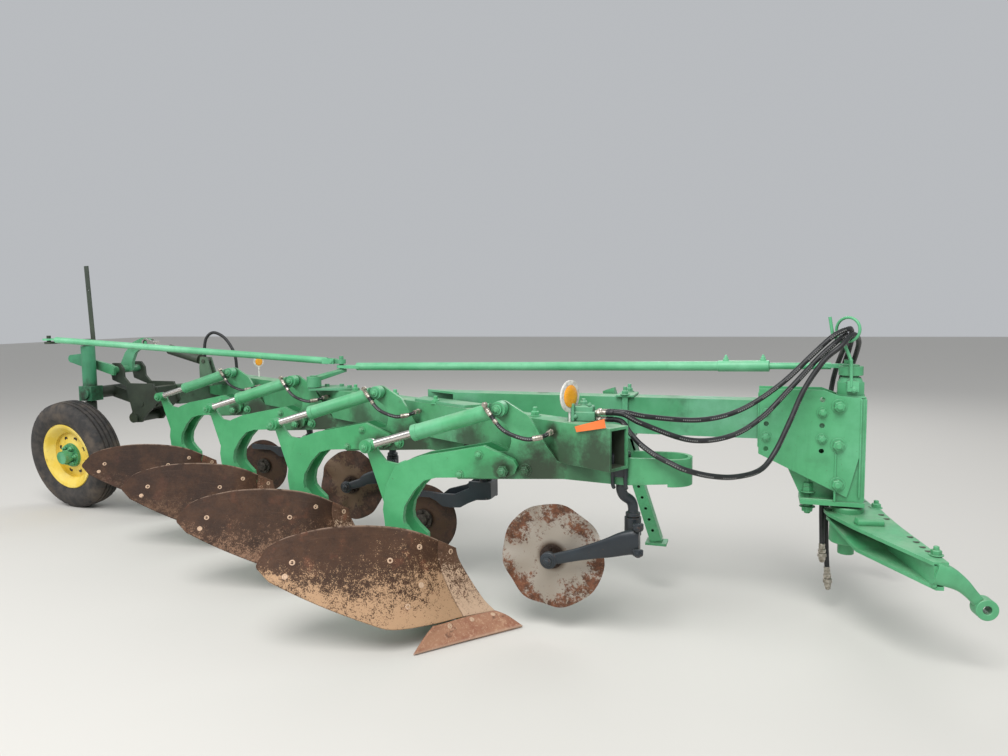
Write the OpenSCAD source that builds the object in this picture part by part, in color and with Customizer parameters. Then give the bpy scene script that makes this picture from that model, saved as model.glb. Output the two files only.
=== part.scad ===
// Semi-mounted moldboard plough with four right-hand bottoms, hydraulic reset
// standards and one steered tail wheel. All sizes in mm.
// The layout is drawn in a working frame (x forward, y to the machine's left,
// z up, z = 0 on the ground) and then moved by "shift" so that the origin
// lies at the bottom centre of the whole machine.

/* [Frame] */
// Width of soil cut by each bottom, sideways step between bottoms
cut_width = 406.4; // [400:0.2:410]
// Fore-and-aft step between bottoms
bottom_spacing = 730; // [724:1:736]
// Width of the diagonal main tube
tube_width = 101.6; // [99:0.2:102.4]
// Height of the diagonal main tube
tube_height = 152.4; // [148:0.4:154]
// Wall of the main tube and the draft beam
tube_wall = 9.5; // [6:0.5:14]

/* [Bottoms] */
// Thickness of each standard plate
standard_plate = 24; // [18:1:28]
// Thickness of the moldboards
moldboard_thickness = 8; // [6:0.5:10]
// Thickness of the shares
share_thickness = 11; // [9:0.5:13]
// Outer diameter of the reset cylinder barrels
barrel_diameter = 62; // [56:1:66]
// Diameter of the chromed reset rods
trip_rod_diameter = 32; // [25:1:34]

/* [Coulters] */
// Diameter of the wavy coulter disc
disc_diameter = 406; // [380:2:412]
// Thickness of the coulter discs
disc_thickness = 5; // [4:0.5:6]
// Diameter of the plain coulter discs
plain_disc_diameter = 330; // [310:2:340]
// Waves around the wavy discs
waves = 8; // [6:1:12]

/* [Tail wheel] */
// Outer diameter of the tyre
tyre_diameter = 700; // [690:2:704]
// Width of the tyre
tyre_width = 180; // [170:2:186]
// Lug nuts on the wheel hub
lug_nuts = 6; // [5:1:8]

/* [Hitch] */
// Distance between the centres of the two lower link eyes
hitch_span = 824; // [810:2:840]
// Bore of the lower link eyes
eye_bore = 29; // [28.8:0.1:29.4]

/* [Paint] */
// Frame paint
paint_green = "#3f9a6a";
// Rim paint
paint_yellow = "#e3b71f";

/* [Hidden] */
$fn = 48;

shift = [897.937, -702.464, 0];
step = [-bottom_spacing, cut_width, 0];
near_y = 0;                    // near face of the first standard
tube_front = [516, -85];       // near corner of the tube's front end
tube_heading = 180 - atan(cut_width / bottom_spacing);
tube_length = 3741;
tube_z = 762 - tube_height / 2;
tube_top = tube_z + tube_height;
beam_y = 480;                  // near face of the draft beam
beam_z = 732;
mast_at = [1334, 531];
hitch_turn = 10.5;             // the hitch stands turned to the left, as parked
shin_y = 108;                  // landside plane of the first bottom
idler_at = [-1241, 811];
idler_tip = [-1185, 1000];
post_at = [-3218, 1190];
arm_a = [-2905, 655];          // x, z of the lower lift pivot on the tail head
arm_b = [-3205, 732];          // x, z of the lower pivot on the post
crank_a = [-3100, 880];        // x, z of the upper lift pivot on the tail head
crank_b = crank_a + arm_b - arm_a;
eye_at = [-3221, 909, 1100];   // rear eye of the rear steering rod
rod_eye_bore = 42;
cyl_base = [-2445, 940];
cyl_tip = [-2915, 1060];
green = paint_green;
dark = "#2c322e";
steel = "#b9bcc0";
rust = "#6b4a36";

// Helpers
// a plate standing in the x-z plane, from y0 to y0 + t
module plate_y(y0, t) translate([0, y0 + t, 0]) rotate([90, 0, 0]) linear_extrude(height = t) children();
module pin_y(x, z, d, y0, y1) translate([x, y0, z]) rotate([-90, 0, 0]) cylinder(d = d, h = y1 - y0);
module pin_z(x, y, d, z0, z1) translate([x, y, z0]) cylinder(d = d, h = z1 - z0);
module bar(a, b, d) {
    v = b - a;
    translate(a) rotate([0, acos(v[2] / norm(v)), atan2(v[1], v[0])]) cylinder(d = d, h = norm(v));
}
// a round rod through the points p, with a slightly swollen forged bend at each inner point
module rod(p, d) {
    last = len(p) - 1;
    for (i = [0:last - 1]) bar(p[i], p[i + 1], d);
    for (i = [1:1:last - 1]) translate(p[i]) sphere(d = d * 1.07);
}
module box(a, b) translate(a) cube(b - a);
module at_bottom(n) translate((n - 1) * step) children();
module on_tube() translate([tube_front[0], tube_front[1], 0]) rotate([0, 0, tube_heading]) children();
module tube_solid() on_tube() translate([-6, -tube_width, tube_z]) cube([tube_length + 12, tube_width, tube_height]);
module on_hitch() translate([mast_at[0], mast_at[1], 0]) rotate([0, 0, hitch_turn]) children();

function mix(a, b, t) = a + (b - a) * t;
function smooth(p, t) =
    let (n = len(p) - 1, s = min(max(t, 0), 1) * n, i = min(floor(s), n - 1), f = s - i,
         a = p[max(i - 1, 0)], b = p[i], c = p[i + 1], d = p[min(i + 2, n)])
    0.5 * (2 * b + (c - a) * f + (2 * a - 5 * b + 4 * c - d) * f * f + (3 * b - a - 3 * c + d) * f * f * f);
function unit(v) = v / norm(v);

// A curved plate between four edge curves (shin, tail, foot, top), given as
// points; the middle is blended from the edges, then the plate is thickened
// towards its back.
function patch(foot, top, shin, tail, u, v) =
    mix(smooth(foot, u), smooth(top, u), v) + mix(smooth(shin, v), smooth(tail, v), u)
    - mix(mix(foot[0], foot[len(foot) - 1], u), mix(top[0], top[len(top) - 1], u), v);
// unit vector square to the patch at u, v, on its working side
function facing(foot, top, shin, tail, u, v) =
    let (e = 0.02,
         du = patch(foot, top, shin, tail, min(u + e, 1), v) - patch(foot, top, shin, tail, max(u - e, 0), v),
         dv = patch(foot, top, shin, tail, u, min(v + e, 1)) - patch(foot, top, shin, tail, u, max(v - e, 0)))
    unit(cross(dv, du));
module curved_plate(foot, top, shin, tail, nu, nv, t) {
    front = [for (j = [0:nv]) [for (i = [0:nu]) patch(foot, top, shin, tail, i / nu, j / nv)]];
    back = [for (j = [0:nv]) [for (i = [0:nu])
        front[j][i] + facing(foot, top, shin, tail, i / nu, j / nv) * t]];
    m = nu + 1;
    k = m * (nv + 1);
    pts = concat([for (r = front) each r], [for (r = back) each r]);
    faces = concat(
        [for (j = [0:nv - 1]) for (i = [0:nu - 1]) each [[j * m + i, j * m + i + 1, (j + 1) * m + i + 1], [j * m + i, (j + 1) * m + i + 1, (j + 1) * m + i]]],
        [for (j = [0:nv - 1]) for (i = [0:nu - 1]) each [[k + j * m + i, k + (j + 1) * m + i + 1, k + j * m + i + 1], [k + j * m + i, k + (j + 1) * m + i, k + (j + 1) * m + i + 1]]],
        [for (i = [0:nu - 1]) each [[i, k + i, k + i + 1], [i, k + i + 1, i + 1]]],
        [for (i = [0:nu - 1]) each [[nv * m + i, nv * m + i + 1, k + nv * m + i + 1], [nv * m + i, k + nv * m + i + 1, k + nv * m + i]]],
        [for (j = [0:nv - 1]) each [[j * m, (j + 1) * m, k + (j + 1) * m], [j * m, k + (j + 1) * m, k + j * m]]],
        [for (j = [0:nv - 1]) each [[j * m + nu, k + j * m + nu, k + (j + 1) * m + nu], [j * m + nu, k + (j + 1) * m + nu, (j + 1) * m + nu]]]);
    polyhedron(points = pts, faces = faces);
}

// a seat behind a patch: a bolt that ends just short of the plate at p and runs back to a fixed piece
module seat(p, n, reach, d) {
    bar(p - 0.45 * n, p - (reach - 4) * n, 6);
    bar(p - 7 * n, p - reach * n, d);
}
function across(v, t) = unit(v - (v * t) * t);
// a hose of diameter d swept along the points p in k steps, with eight sides
module hose(p, d, k) {
    path = [for (i = [0:k]) smooth(p, i / k)];
    dir = [for (i = [0:k]) unit(path[min(i + 1, k)] - path[max(i - 1, 0)])];
    raw = [for (i = 0, s = across([0.3, 0.5, 0.8], dir[0]); i <= k; i = i + 1, s = across(s, dir[min(i, k)])) s];
    side = [for (i = [0:k]) across(raw[i], dir[i])];
    pts = [for (i = [0:k]) for (j = [0:7]) path[i] + d / 2 * (cos(j * 45) * side[i] + sin(j * 45) * cross(dir[i], side[i]))];
    polyhedron(points = pts, faces = concat([[for (j = [0:7]) j]], [[for (j = [7:-1:0]) k * 8 + j]],
        [for (i = [0:k - 1]) for (j = [0:7]) let (h = (j + 1) % 8) each
            [[i * 8 + j, i * 8 + 8 + j, i * 8 + 8 + h], [i * 8 + j, i * 8 + 8 + h, i * 8 + h]]]));
}

// Frame
module main_tube() color(green) on_tube() translate([0, -tube_width, tube_z]) difference() {
    cube([tube_length, tube_width, tube_height]);
    translate([-1, tube_wall, tube_wall]) cube([tube_length + 2, tube_width - 2 * tube_wall, tube_height - 2 * tube_wall]);
}

module draft_beam() color(green) {
    intersection() {
        difference() {
            box([-700, beam_y, beam_z], [1283, beam_y + 102, beam_z + 152]);
            box([-701, beam_y + tube_wall, beam_z + tube_wall], [1284, beam_y + 102 - tube_wall, beam_z + 152 - tube_wall]);
        }
        on_tube() translate([-1200, -tube_width - 2600, 0]) cube([3000, 2600, 1200]);
    }
    // gusset over the top of the main tube
    on_tube() translate([0, 0, tube_z + tube_height]) linear_extrude(height = 12)
        polygon([[760, -100], [800, -6], [1160, -6], [1210, -100]]);
}

mast_side = [[1001, 931], [1236, 931], [1288, 911], [1368, 903], [1368, 690], [1336, 560], [1325, 519], [1002, 674]];
module mast() color(green) {
    for (y = [beam_y - 10, beam_y + 102]) plate_y(y, 10) difference() {
        polygon(mast_side);
        for (p = [[1232, 894], [1232, 794], [1232, 695], [1030, 794], [1030, 695]]) translate(p) circle(d = 19);
    }
    difference() {
        box([1283, beam_y, 500], [1385, beam_y + 102, 905]);
        box([1293, beam_y + 10, 565], [1375, beam_y + 92, 845]);
        pin_z(mast_at[0], mast_at[1], 60.1, 499, 906);
    }
    difference() {
        box([1159, beam_y - 10, 483], [1389, beam_y + 112, 500]);
        pin_z(mast_at[0], mast_at[1], 66, 482, 501);
        pin_z(1190, beam_y + 51, 26, 482, 501);
    }
    pin_z(1190, beam_y + 51, 25, 462, 520);
    pin_z(1190, beam_y + 51, 40, 462, 483);
    // web under the beam that carries the swivel plate
    plate_y(beam_y + 44, 14) polygon([[1165, 500], [1283, 500], [1283, 731], [1060, 731]]);
}

ring_at = [1315, 486, 1162];     // middle of the ring that carries the hoses
module mast_cap() color(green) {
    difference() {
        union() {
            translate([mast_at[0], mast_at[1], 905]) cylinder(d = 102, h = 7);
            translate([mast_at[0], mast_at[1], 912]) rotate([0, 0, 22.5]) cylinder(d = 100, h = 48, $fn = 8);
            translate([mast_at[0], mast_at[1], 960]) cylinder(d1 = 88, d2 = 72, h = 18);
            pin_y(mast_at[0] + 6, 936, 26, mast_at[1] - 60, mast_at[1] - 40);
        }
        pin_z(mast_at[0], mast_at[1], 62, 904, 979);
    }
    // hose ring and prong on a stem beside the cap
    translate(ring_at) rotate([0, 0, -33]) rotate([90, 0, 0]) rotate_extrude() translate([45, 0]) circle(d = 11);
    rod([[1330, 467, 945], [1327, 467, 1045], [1304, 482, 1106], [1262, 480, 1138], [1250, 480, 1210]], 12);
    bar([1304, 482, 1106], ring_at + [-3, 2, -44], 11);
    box([1316, 464, 928], [1356, 490, 968]);
}

bracket_side = [[-100, 600], [-112, 640], [-60, 690], [30, 706], [90, 708], [112, 724], [121, 756], [118, 790],
    [100, 822], [62, 848], [52, 880], [60, 902], [82, 912], [100, 909], [189, 856], [222, 805], [262, 742], [300, 692],
    [332, 684], [540, 684], [562, 717], [700, 720], [700, 630], [560, 618], [496, 619], [321, 626], [114, 613]];
module bracket(n) at_bottom(n) color(green) difference() {
    union() {
        plate_y(29, 15) polygon(bracket_side);
        // nose: the near leg bends round into the far leg
        translate([700, 108, 0]) rotate([0, 0, -90]) rotate_extrude(angle = 180) translate([64, 620]) square([15, 98]);
        plate_y(172, 15) polygon([[430, 620], [700, 620], [700, 718], [560, 716], [540, 684], [430, 684]]);
        box([430, 44, 622], [445, 172, 684]);
        // inner plate that takes the pivot bolt
        plate_y(71, 15) polygon([[-100, 600], [-112, 640], [-60, 690], [30, 706], [90, 708], [180, 740], [230, 740], [262, 684],
            [430, 684], [430, 622], [321, 626], [114, 613]]);
        box([262, 44, 622], [300, 71, 684]);
        // pivot bolt with its head and nut
        pin_y(98, 650, 30, -1, 122);
        translate([98, 0, 650]) rotate([90, 0, 0]) cylinder(d = 46, h = 18, $fn = 6);
        translate([98, 134, 650]) rotate([90, 0, 0]) cylinder(d = 46, h = 18, $fn = 6);
        // boss for the cylinder pin
        pin_y(l_pin[0], l_pin[1], 50, 20, 29);
    }
    tube_solid_local(n);
    pin_y(l_pin[0], l_pin[1], 25.4, 18, 50);
}
module tube_solid_local(n) translate(-(n - 1) * step) tube_solid();

// Bottoms
neck = [[18, 740], [139, 692], [152, 668], [142, 640], [98, 619], [-37, 616], [-179, 606], [-231, 591], [-276, 547],
    [-318, 482], [-326, 440], [-322, 412], [-298, 384], [-262, 352], [-258, 250], [-300, 170], [-390, 170], [-398, 330],
    [-405, 398], [-413, 463], [-398, 560], [-353, 643], [-317, 661], [-246, 687], [-117, 712]];
horn = [[-496, 700], [-413, 463], [-350, 430], [-320, 640], [-317, 661], [-353, 645], [-407, 654], [-440, 692], [-452, 716], [-490, 730]];
module standard(n) at_bottom(n) color(green) difference() {
    union() {
        for (y = [near_y, 91]) plate_y(y, standard_plate) polygon(neck);
        plate_y(near_y + standard_plate, 14) polygon(horn);
        // spacers that join the two plates
        box([-400, standard_plate, 180], [-300, 91, 330]);
        box([-372, standard_plate, 500], [-340, 91, 600]);
        pin_y(-79, 640, 40, standard_plate, 27);
        // frog that backs the moldboard and the share
        translate([0, 0, 66]) linear_extrude(height = 134)
            polygon([[-330, 30], [-330, 92], [-135, 92], [-190, -40], [-240, -108], [-320, -108]]);
        translate([0, 0, 200]) linear_extrude(height = 100)
            polygon([[-340, 30], [-340, 92], [-168, 92], [-225, 8], [-288, -80], [-340, -80]]);
        // landside bar and heel
        box([-640, 92, 8], [-75, 108, 104]);
        box([-640, 84, 0], [-560, 92, 100]);
        // plough bolts behind the moldboard, each at column, row of its grid and with its reach
        for (b = [[2, 4, 40], [4, 3, 44], [3, 6, 34]])
            seat(board_at(b[0] / 14, b[1] / 8), board_facing(b[0] / 14, b[1] / 8), b[2], 26);
        // brace to the tail of the moldboard
        seat(board_at(9 / 14, 4 / 8), board_facing(9 / 14, 4 / 8), 46, 28);
        bar(board_at(9 / 14, 4 / 8) - 34 * board_facing(9 / 14, 4 / 8), [-322, -58, 252], 23);
        // shelf under the share
        seat(share_at(3 / 8, 1 / 2), share_facing(3 / 8, 1 / 2), 26, 22);
        bar(share_at(3 / 8, 1 / 2) - 18 * share_facing(3 / 8, 1 / 2), [-208, 19, 88], 18);
    }
    pin_y(98, 650, 30.4, -1, 120);
    pin_y(k_pin[0], k_pin[1], 25.4, -1, 60);
}

shin_top = [-150, shin_y, 297];
shin_low = [15, shin_y, 52];
point = [131, shin_y, 2];
wing = [-177, -238, 2];
seam_end = [-140, -150, 84];
// edge curves of the moldboard and of the share
board_foot = [shin_low, mix(shin_low, seam_end, 0.5) + [-6, 0, 2], seam_end, [-243, -262, 96], [-330, -305, 128],
    [-450, -352, 182], [-560, -390, 236], [-657, -415, 285]];
board_top = [shin_top, [-194, 40, 345], [-257, -9, 385], [-345, -52, 410], [-452, -125, 428], [-559, -211, 432],
    [-655, -295, 415], [-705, -342, 388]];
board_shin = [shin_low, [-33, shin_y, 94], [-97, shin_y, 182], [-138, shin_y, 250], shin_top];
board_tail = [[-657, -415, 285], [-694, -410, 312], [-720, -398, 335], [-705, -342, 388]];
share_foot = [point, mix(point, wing, 0.5), wing];
share_top = [shin_low + [4, 0, -5], mix(shin_low, seam_end, 0.5) + [-3, 0, -3], seam_end + [4, 0, -5]];
share_nose = [point, mix(point, shin_low, 0.5) + [0, 0, 6], shin_low + [4, 0, -5]];
share_tail = [wing, mix(wing, seam_end, 0.5), seam_end + [4, 0, -5]];
function board_at(u, v) = patch(board_foot, board_top, board_shin, board_tail, u, v);
function board_facing(u, v) = facing(board_foot, board_top, board_shin, board_tail, u, v);
function share_at(u, v) = patch(share_foot, share_top, share_nose, share_tail, u, v);
function share_facing(u, v) = facing(share_foot, share_top, share_nose, share_tail, u, v);
module moldboard(n) at_bottom(n) color(rust)
    curved_plate(board_foot, board_top, board_shin, board_tail, 14, 8, moldboard_thickness);
module share(n) at_bottom(n) color(rust) difference() {
    curved_plate(share_foot, share_top, share_nose, share_tail, 8, 2, share_thickness);
    box([-400, -400, -30], [300, 200, 0]);
}

k_pin = [-472, 718];
l_pin = [85, 884];
cyl_y = 29 - 2 - (barrel_diameter + 3) / 2;
reset_span = norm(k_pin - l_pin);
module reset_barrels() color(green) for (n = [1:4]) at_bottom(n) {
    d = unit([k_pin[0] - l_pin[0], 0, k_pin[1] - l_pin[1]]);
    a = [l_pin[0], cyl_y, l_pin[1]];
    difference() {
        union() {
            bar(a + 28 * d, a + (reset_span - 216) * d, barrel_diameter);
            bar(a + (reset_span - 236) * d, a + (reset_span - 213) * d, barrel_diameter + 3);
            pin_y(l_pin[0], l_pin[1], 58, cyl_y - 16, cyl_y + 24);
        }
        pin_y(l_pin[0], l_pin[1], 25.4, -60, 60);
        bar(a + (reset_span - 281) * d, a + (reset_span - 201) * d, trip_rod_diameter + 0.2);
    }
    pin_y(l_pin[0], l_pin[1], 25.4, cyl_y - 24, 50);
    pin_y(l_pin[0], l_pin[1], 38, cyl_y - 30, cyl_y - 17);
}
module reset_rods() color(steel) for (n = [1:4]) at_bottom(n) {
    d = unit([l_pin[0] - k_pin[0], 0, l_pin[1] - k_pin[1]]);
    a = [k_pin[0], cyl_y, k_pin[1]];
    bar(a + 20 * d, a + 280 * d, trip_rod_diameter);
    pin_y(k_pin[0], k_pin[1], 54, cyl_y - 20, standard_plate);
    pin_y(k_pin[0], k_pin[1], 25.2, standard_plate, 46);
    pin_y(k_pin[0], k_pin[1], 34, cyl_y - 32, cyl_y - 20);
}

// Coulters
// one row for each coulter: x of its upright pivot, x and z of its hub, disc diameter,
// 1 for a wavy disc with the arm on the near side, 0 for a plain disc in a fork
coulters = [[566, 256, 303, disc_diameter, 1], [566, 262, 285, plain_disc_diameter, 0],
    [616, 362, 308, disc_diameter - 26, 1], [566, 240, 287, plain_disc_diameter, 0]];
caster_y = 110;
function disc_y(n) = coulters[n - 1][4] == 1 ? 112 : 92;
module coulter_shanks() color(dark) for (n = [1:4]) at_bottom(n) translate([coulters[n - 1][0] - 566, 0, 0]) {
    rod([[531, 64, 728], [531, 64, 600], [566, 110, 520], [566, 110, 488]], 38);
    pin_z(566, 110, 30, 408, 488);
    pin_z(566, 110, 44, 396, 408);
    // clamp on the near leg of the nose
    box([498, 44, 640], [512, 86, 700]);
    box([550, 44, 640], [564, 86, 700]);
    box([498, 84, 640], [564, 96, 700]);
    box([500, 14, 648], [562, 28.9, 684]);
}
near_arm = [[33, 446], [34, 346], [-21, 340], [-133, 325], [-284, 291], [-310, 278], [-332, 288], [-336, 312], [-322, 330],
    [-236, 352], [-114, 396], [-22, 442]];
fork_far = [[43, 484], [43, 408], [-26, 400], [-106, 372], [-146, 355], [-190, 325], [-262, 262], [-304, 247], [-336, 262],
    [-340, 292], [-326, 312], [-266, 366], [-194, 424], [-106, 450], [-63, 484]];
fork_near = [[43, 484], [43, 440], [19, 438], [17, 405], [-26, 402], [-66, 385], [-106, 362], [-156, 358], [-194, 362],
    [-226, 385], [-256, 398], [-377, 398], [-391, 404], [-391, 427], [-377, 430], [-256, 424], [-194, 418], [-136, 420], [-63, 452], [-63, 484]];
module coulter_arm(n) at_bottom(n) {
    c = coulters[n - 1];
    color(dark) difference() {
        union() {
            pin_z(c[0], caster_y, 58, 412, 484);
            if (c[4] == 1) {
                plate_y(50, 14) translate([c[0], 0]) polygon(near_arm);
                box([c[0] - 21, 60, 350], [c[0] + 33, 100, 440]);
                pin_y(c[1], c[2], 30, 64, 100);
            } else {
                plate_y(56, 16) translate([c[0], 0]) polygon(fork_near);
                plate_y(134, 14) translate([c[0], 0]) polygon(fork_far);
                box([c[0] + 2, 56, 412], [c[0] + 43, 148, 484]);
                pin_y(c[1], c[2], 30, 104, 136);
            }
        }
        pin_z(c[0], caster_y, 30.1, 340, 500);
        pin_z(c[0], caster_y, 50, 340, 411);
    }
}
module wavy_disc(d, t, waves, depth) {
    m = waves * 4;
    // radius, and how far the waves have grown there
    rings = [[38, 0], [d * 0.22, 0], [d * 0.34, 0.5], [d * 0.5, 1]];
    q = len(rings);
    pts = concat(
        [for (r = rings) for (i = [0:m - 1]) [r[0] * cos(i * 360 / m), r[0] * sin(i * 360 / m), t / 2 + depth * r[1] * sin(i * 90)]],
        [for (r = rings) for (i = [0:m - 1]) [r[0] * cos(i * 360 / m), r[0] * sin(i * 360 / m), -t / 2 + depth * r[1] * sin(i * 90)]]);
    k = q * m;
    faces = concat(
        [for (j = [0:q - 2]) for (i = [0:m - 1]) let (h = (i + 1) % m)
            each [[j * m + i, (j + 1) * m + h, (j + 1) * m + i], [j * m + i, j * m + h, (j + 1) * m + h]]],
        [for (j = [0:q - 2]) for (i = [0:m - 1]) let (h = (i + 1) % m)
            each [[k + j * m + i, k + (j + 1) * m + i, k + (j + 1) * m + h], [k + j * m + i, k + (j + 1) * m + h, k + j * m + h]]],
        [for (i = [0:m - 1]) let (h = (i + 1) % m, o = (q - 1) * m) each [[o + i, o + h, k + o + h], [o + i, k + o + h, k + o + i]]],
        [for (i = [0:m - 1]) let (h = (i + 1) % m) each [[i, k + h, h], [i, k + i, k + h]]]);
    polyhedron(points = pts, faces = faces);
}
module coulter_disc(n) at_bottom(n) color(rust) {
    c = coulters[n - 1];
    y = disc_y(n);
    // the hub's bore opens towards the arm
    s = c[4] == 1 ? -1 : 1;
    difference() {
        union() {
            translate([c[1], y, c[2]]) rotate([90, 0, 0])
                if (c[4] == 1) wavy_disc(c[3], disc_thickness, waves, 10);
                else cylinder(d = c[3], h = disc_thickness, center = true);
            pin_y(c[1], c[2], 92, y - 18, y + 18);
            pin_y(c[1], c[2], 56, min(y - s * 18, y - s * 34), max(y - s * 18, y - s * 34));
        }
        pin_y(c[1], c[2], 30.1, min(y + s * 10, y + s * 50), max(y + s * 10, y + s * 50));
    }
}

// Hoses and their fittings, as hand-chosen points along each run
jumper_run = [[53, -47, 885], [84, -50, 845], [111, -53, 818], [147, -56, 799], [204, -56, 784], [244, -50, 788],
    [268, -24, 795], [276, 11, 800]];
module jumper_hoses() color("#1b1b1d") for (n = [1:4]) at_bottom(n) hose(jumper_run, 16, 14);
port_a = [500, 106, 872];
port_b = [500, 76, 872];
port_c = [500, 90, 846];
run_a = [port_a, [542, 108, 870], [621, 150, 851], [793, 250, 832], [934, 330, 863], [1076, 390, 957], [1199, 428, 1080],
    [1262, 446, 1140], [1313, 486, 1163], [1332, 545, 1158], [1342, 620, 1120], [1342, 700, 1072], [1330, 750, 1000],
    [1318, 768, 900], [1308, 745, 760], [1293, 700, 640], [1279, 655, 530], [1269, 635, 420], [1271, 632, 300], [1277, 632, 190]];
run_b = [port_b, [540, 78, 866], [604, 104, 830], [764, 180, 766], [902, 260, 774], [1010, 330, 836], [1112, 388, 944],
    [1205, 416, 1052], [1262, 436, 1108], [1304, 492, 1140], [1316, 545, 1133], [1318, 640, 1085], [1313, 700, 1050],
    [1298, 740, 985], [1284, 745, 900], [1272, 715, 760], [1261, 665, 640], [1252, 620, 530], [1249, 600, 440],
    [1251, 597, 360], [1253, 597, 296]];
run_c = [port_c, [532, 82, 838], [566, 48, 804], [605, 20, 772], [659, 4, 738], [711, 2, 713], [762, 6, 691], [843, 60, 663],
    [925, 150, 645], [1009, 250, 654], [1061, 310, 713], [1113, 352, 827], [1160, 385, 940], [1226, 405, 1046],
    [1288, 421, 1104], [1324, 479, 1140], [1350, 536, 1136], [1368, 615, 1104], [1368, 700, 1052], [1356, 762, 980],
    [1346, 780, 890], [1338, 762, 790], [1332, 728, 700]];
module hose_a() color("#1b1b1d") hose(run_a, 20, 46);
module hose_b() color("#1b1b1d") hose(run_b, 20, 42);
module hose_c() color("#1b1b1d") hose(run_c, 20, 42);
tail_run = [[-2530, 1500, 900], [-2538, 1500, 1000], [-2528, 1512, 1085], [-2480, 1530, 1122], [-2400, 1545, 1080], [-2336, 1550, 980], [-2322, 1550, 872]];
module tail_hose() color("#1b1b1d") hose(tail_run, 20, 18);
module hose_fittings() color(steel) {
    for (n = [1:4]) at_bottom(n) {
        pin_y(44, 903, 18, -56, -36.4);
        bar([41, -46, 900.5], [52, -46.9, 886.3], 15);
        pin_y(276, 800, 20, 16, 40);
    }
    for (p = [port_a, port_b, port_c]) {
        bar([432, p[1], p[2]], [p[0] - 2.4, p[1], p[2]], 19);
        bar([436, p[1], p[2]], [456, p[1], p[2]], 25);
    }
    // unions of the tail hose, on the lug of the tail beam and on the tube
    pin_z(-2530, 1500, 26, 800, 898);
    box([-2545, 1470, 788], [-2480.1, 1530, 800]);
    pin_z(-2322, 1550, 28, tube_top + 0.1, 870);
}
module hose_couplers() color(steel) {
    bar([1277.1, 632, 188.5], [1283, 632, 92], 27);
    bar([1278.5, 632, 165], [1280.3, 632, 135], 35);
    bar([1253.1, 597, 294.5], [1255, 597, 216], 27);
    bar([1253.7, 597, 270], [1254.4, 597, 240], 35);
    bar([1331.8, 727.2, 697.5], [1328, 704, 624], 27);
}

// Valve, stand
module valve_block() color(green) {
    box([330, 62, tube_top + 0.1], [432, 118, 895]);
    pin_z(385, 90, 20, 895, 915);
    translate([352, 52, 925]) rotate([90, 0, 0]) cylinder(d = 88, h = 6);
    box([346, 50, tube_top + 0.1], [358, 62, 925]);
}
module stand_clamp() color(green) {
    box([440, beam_y - 14, beam_z - 14], [530, beam_y, 905]);
    box([440, beam_y + 102, beam_z - 14], [530, beam_y + 116, 905]);
    box([430, beam_y - 14, 884], [540, beam_y + 116, 905]);
    box([440, beam_y - 14, beam_z - 14], [530, beam_y + 116, beam_z]);
    difference() {
        box([400, beam_y + 102, 590], [510, beam_y + 182, 760]);
        stand_frame() translate([-27, -27, -400]) cube([54, 54, 800]);
        stand_frame() translate([0, -60, -30]) rotate([-90, 0, 0]) cylinder(d = 13, h = 120);
    }
}
stand_tilt = -17.8;
module stand_frame() translate([458, beam_y + 144, 650]) rotate([0, stand_tilt, 0]) children();
module parking_stand() color(green) {
    stand_frame() difference() {
        translate([-25, -25, -430]) cube([50, 50, 692]);
        translate([-19, -19, -424]) cube([38, 38, 700]);
        for (z = [-380 : 50 : 220]) translate([0, -30, z]) rotate([-90, 0, 0]) cylinder(d = 13, h = 60);
    }
    stand_frame() translate([0, 0, -430]) rotate([0, -stand_tilt, 0]) translate([-45, -40, -14]) cube([90, 80, 10]);
    stand_frame() translate([-22, -22, -440]) cube([44, 44, 12]);
}

// Hitch and steering
hitch_top = [[195, -422], [137, -456], [-12, -100], [-70, -45], [-70, 45], [-12, 100], [137, 456], [195, 422]];
hitch_low = [[186, -424], [128, -436], [20, -100], [-70, -45], [-70, 45], [20, 100], [128, 436], [186, 424]];
module hitch_frame() color(green) on_hitch() difference() {
    union() {
        translate([0, 0, 390]) linear_extrude(height = 14) polygon(hitch_top);
        translate([0, 0, 290]) linear_extrude(height = 14) polygon(hitch_low);
        pin_z(0, 0, 124, 286, 476);
        box([120, -400, 304], [134, 400, 390]);
        for (s = [-1, 1]) {
            plate_y(s * hitch_span / 2 - 12, 24) polygon([[110, 404], [195, 404], [346, 268], [352, 228], [330, 209], [296, 214], [110, 290]]);
            pin_y(320, 243, 68, s * hitch_span / 2 - 24, s * hitch_span / 2 + 24);
        }
    }
    for (s = [-1, 1]) pin_y(320, 243, eye_bore, s * hitch_span / 2 - 30, s * hitch_span / 2 + 30);
    pin_z(0, 0, 60, 280, 480);
    for (y = [-330, -152, 152, 330]) pin_z(174, y, 22, 389, 405);
}
module steer_shaft() color(green) {
    pin_z(mast_at[0], mast_at[1], 60, 284, 1026);
    pin_z(mast_at[0], mast_at[1], 88, 986, 1020);
    translate([0, 0, 986]) linear_extrude(height = 14) difference() {
        union() {
            translate([mast_at[0], mast_at[1] + 131]) circle(d = 56);
            polygon([[mast_at[0] - 40, mast_at[1]], [mast_at[0] - 28, mast_at[1] + 131], [mast_at[0] + 28, mast_at[1] + 131], [mast_at[0] + 40, mast_at[1]]]);
        }
    }
    pin_z(mast_at[0], mast_at[1] + 131, 24, 1000, 1036);
}
crank_tip = [mast_at[0], mast_at[1] + 131, 1011];
front_end = [idler_tip[0], idler_tip[1], 950];
module linear_slot(p, v, half, d, z0, z1) {
    translate([p[0], p[1], z0]) rotate([0, 0, atan2(v[1], v[0])]) linear_extrude(height = z1 - z0) {
        translate([-half, 0]) circle(d = d);
        translate([half, 0]) circle(d = d);
        square([2 * half, d], center = true);
    }
}
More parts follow.
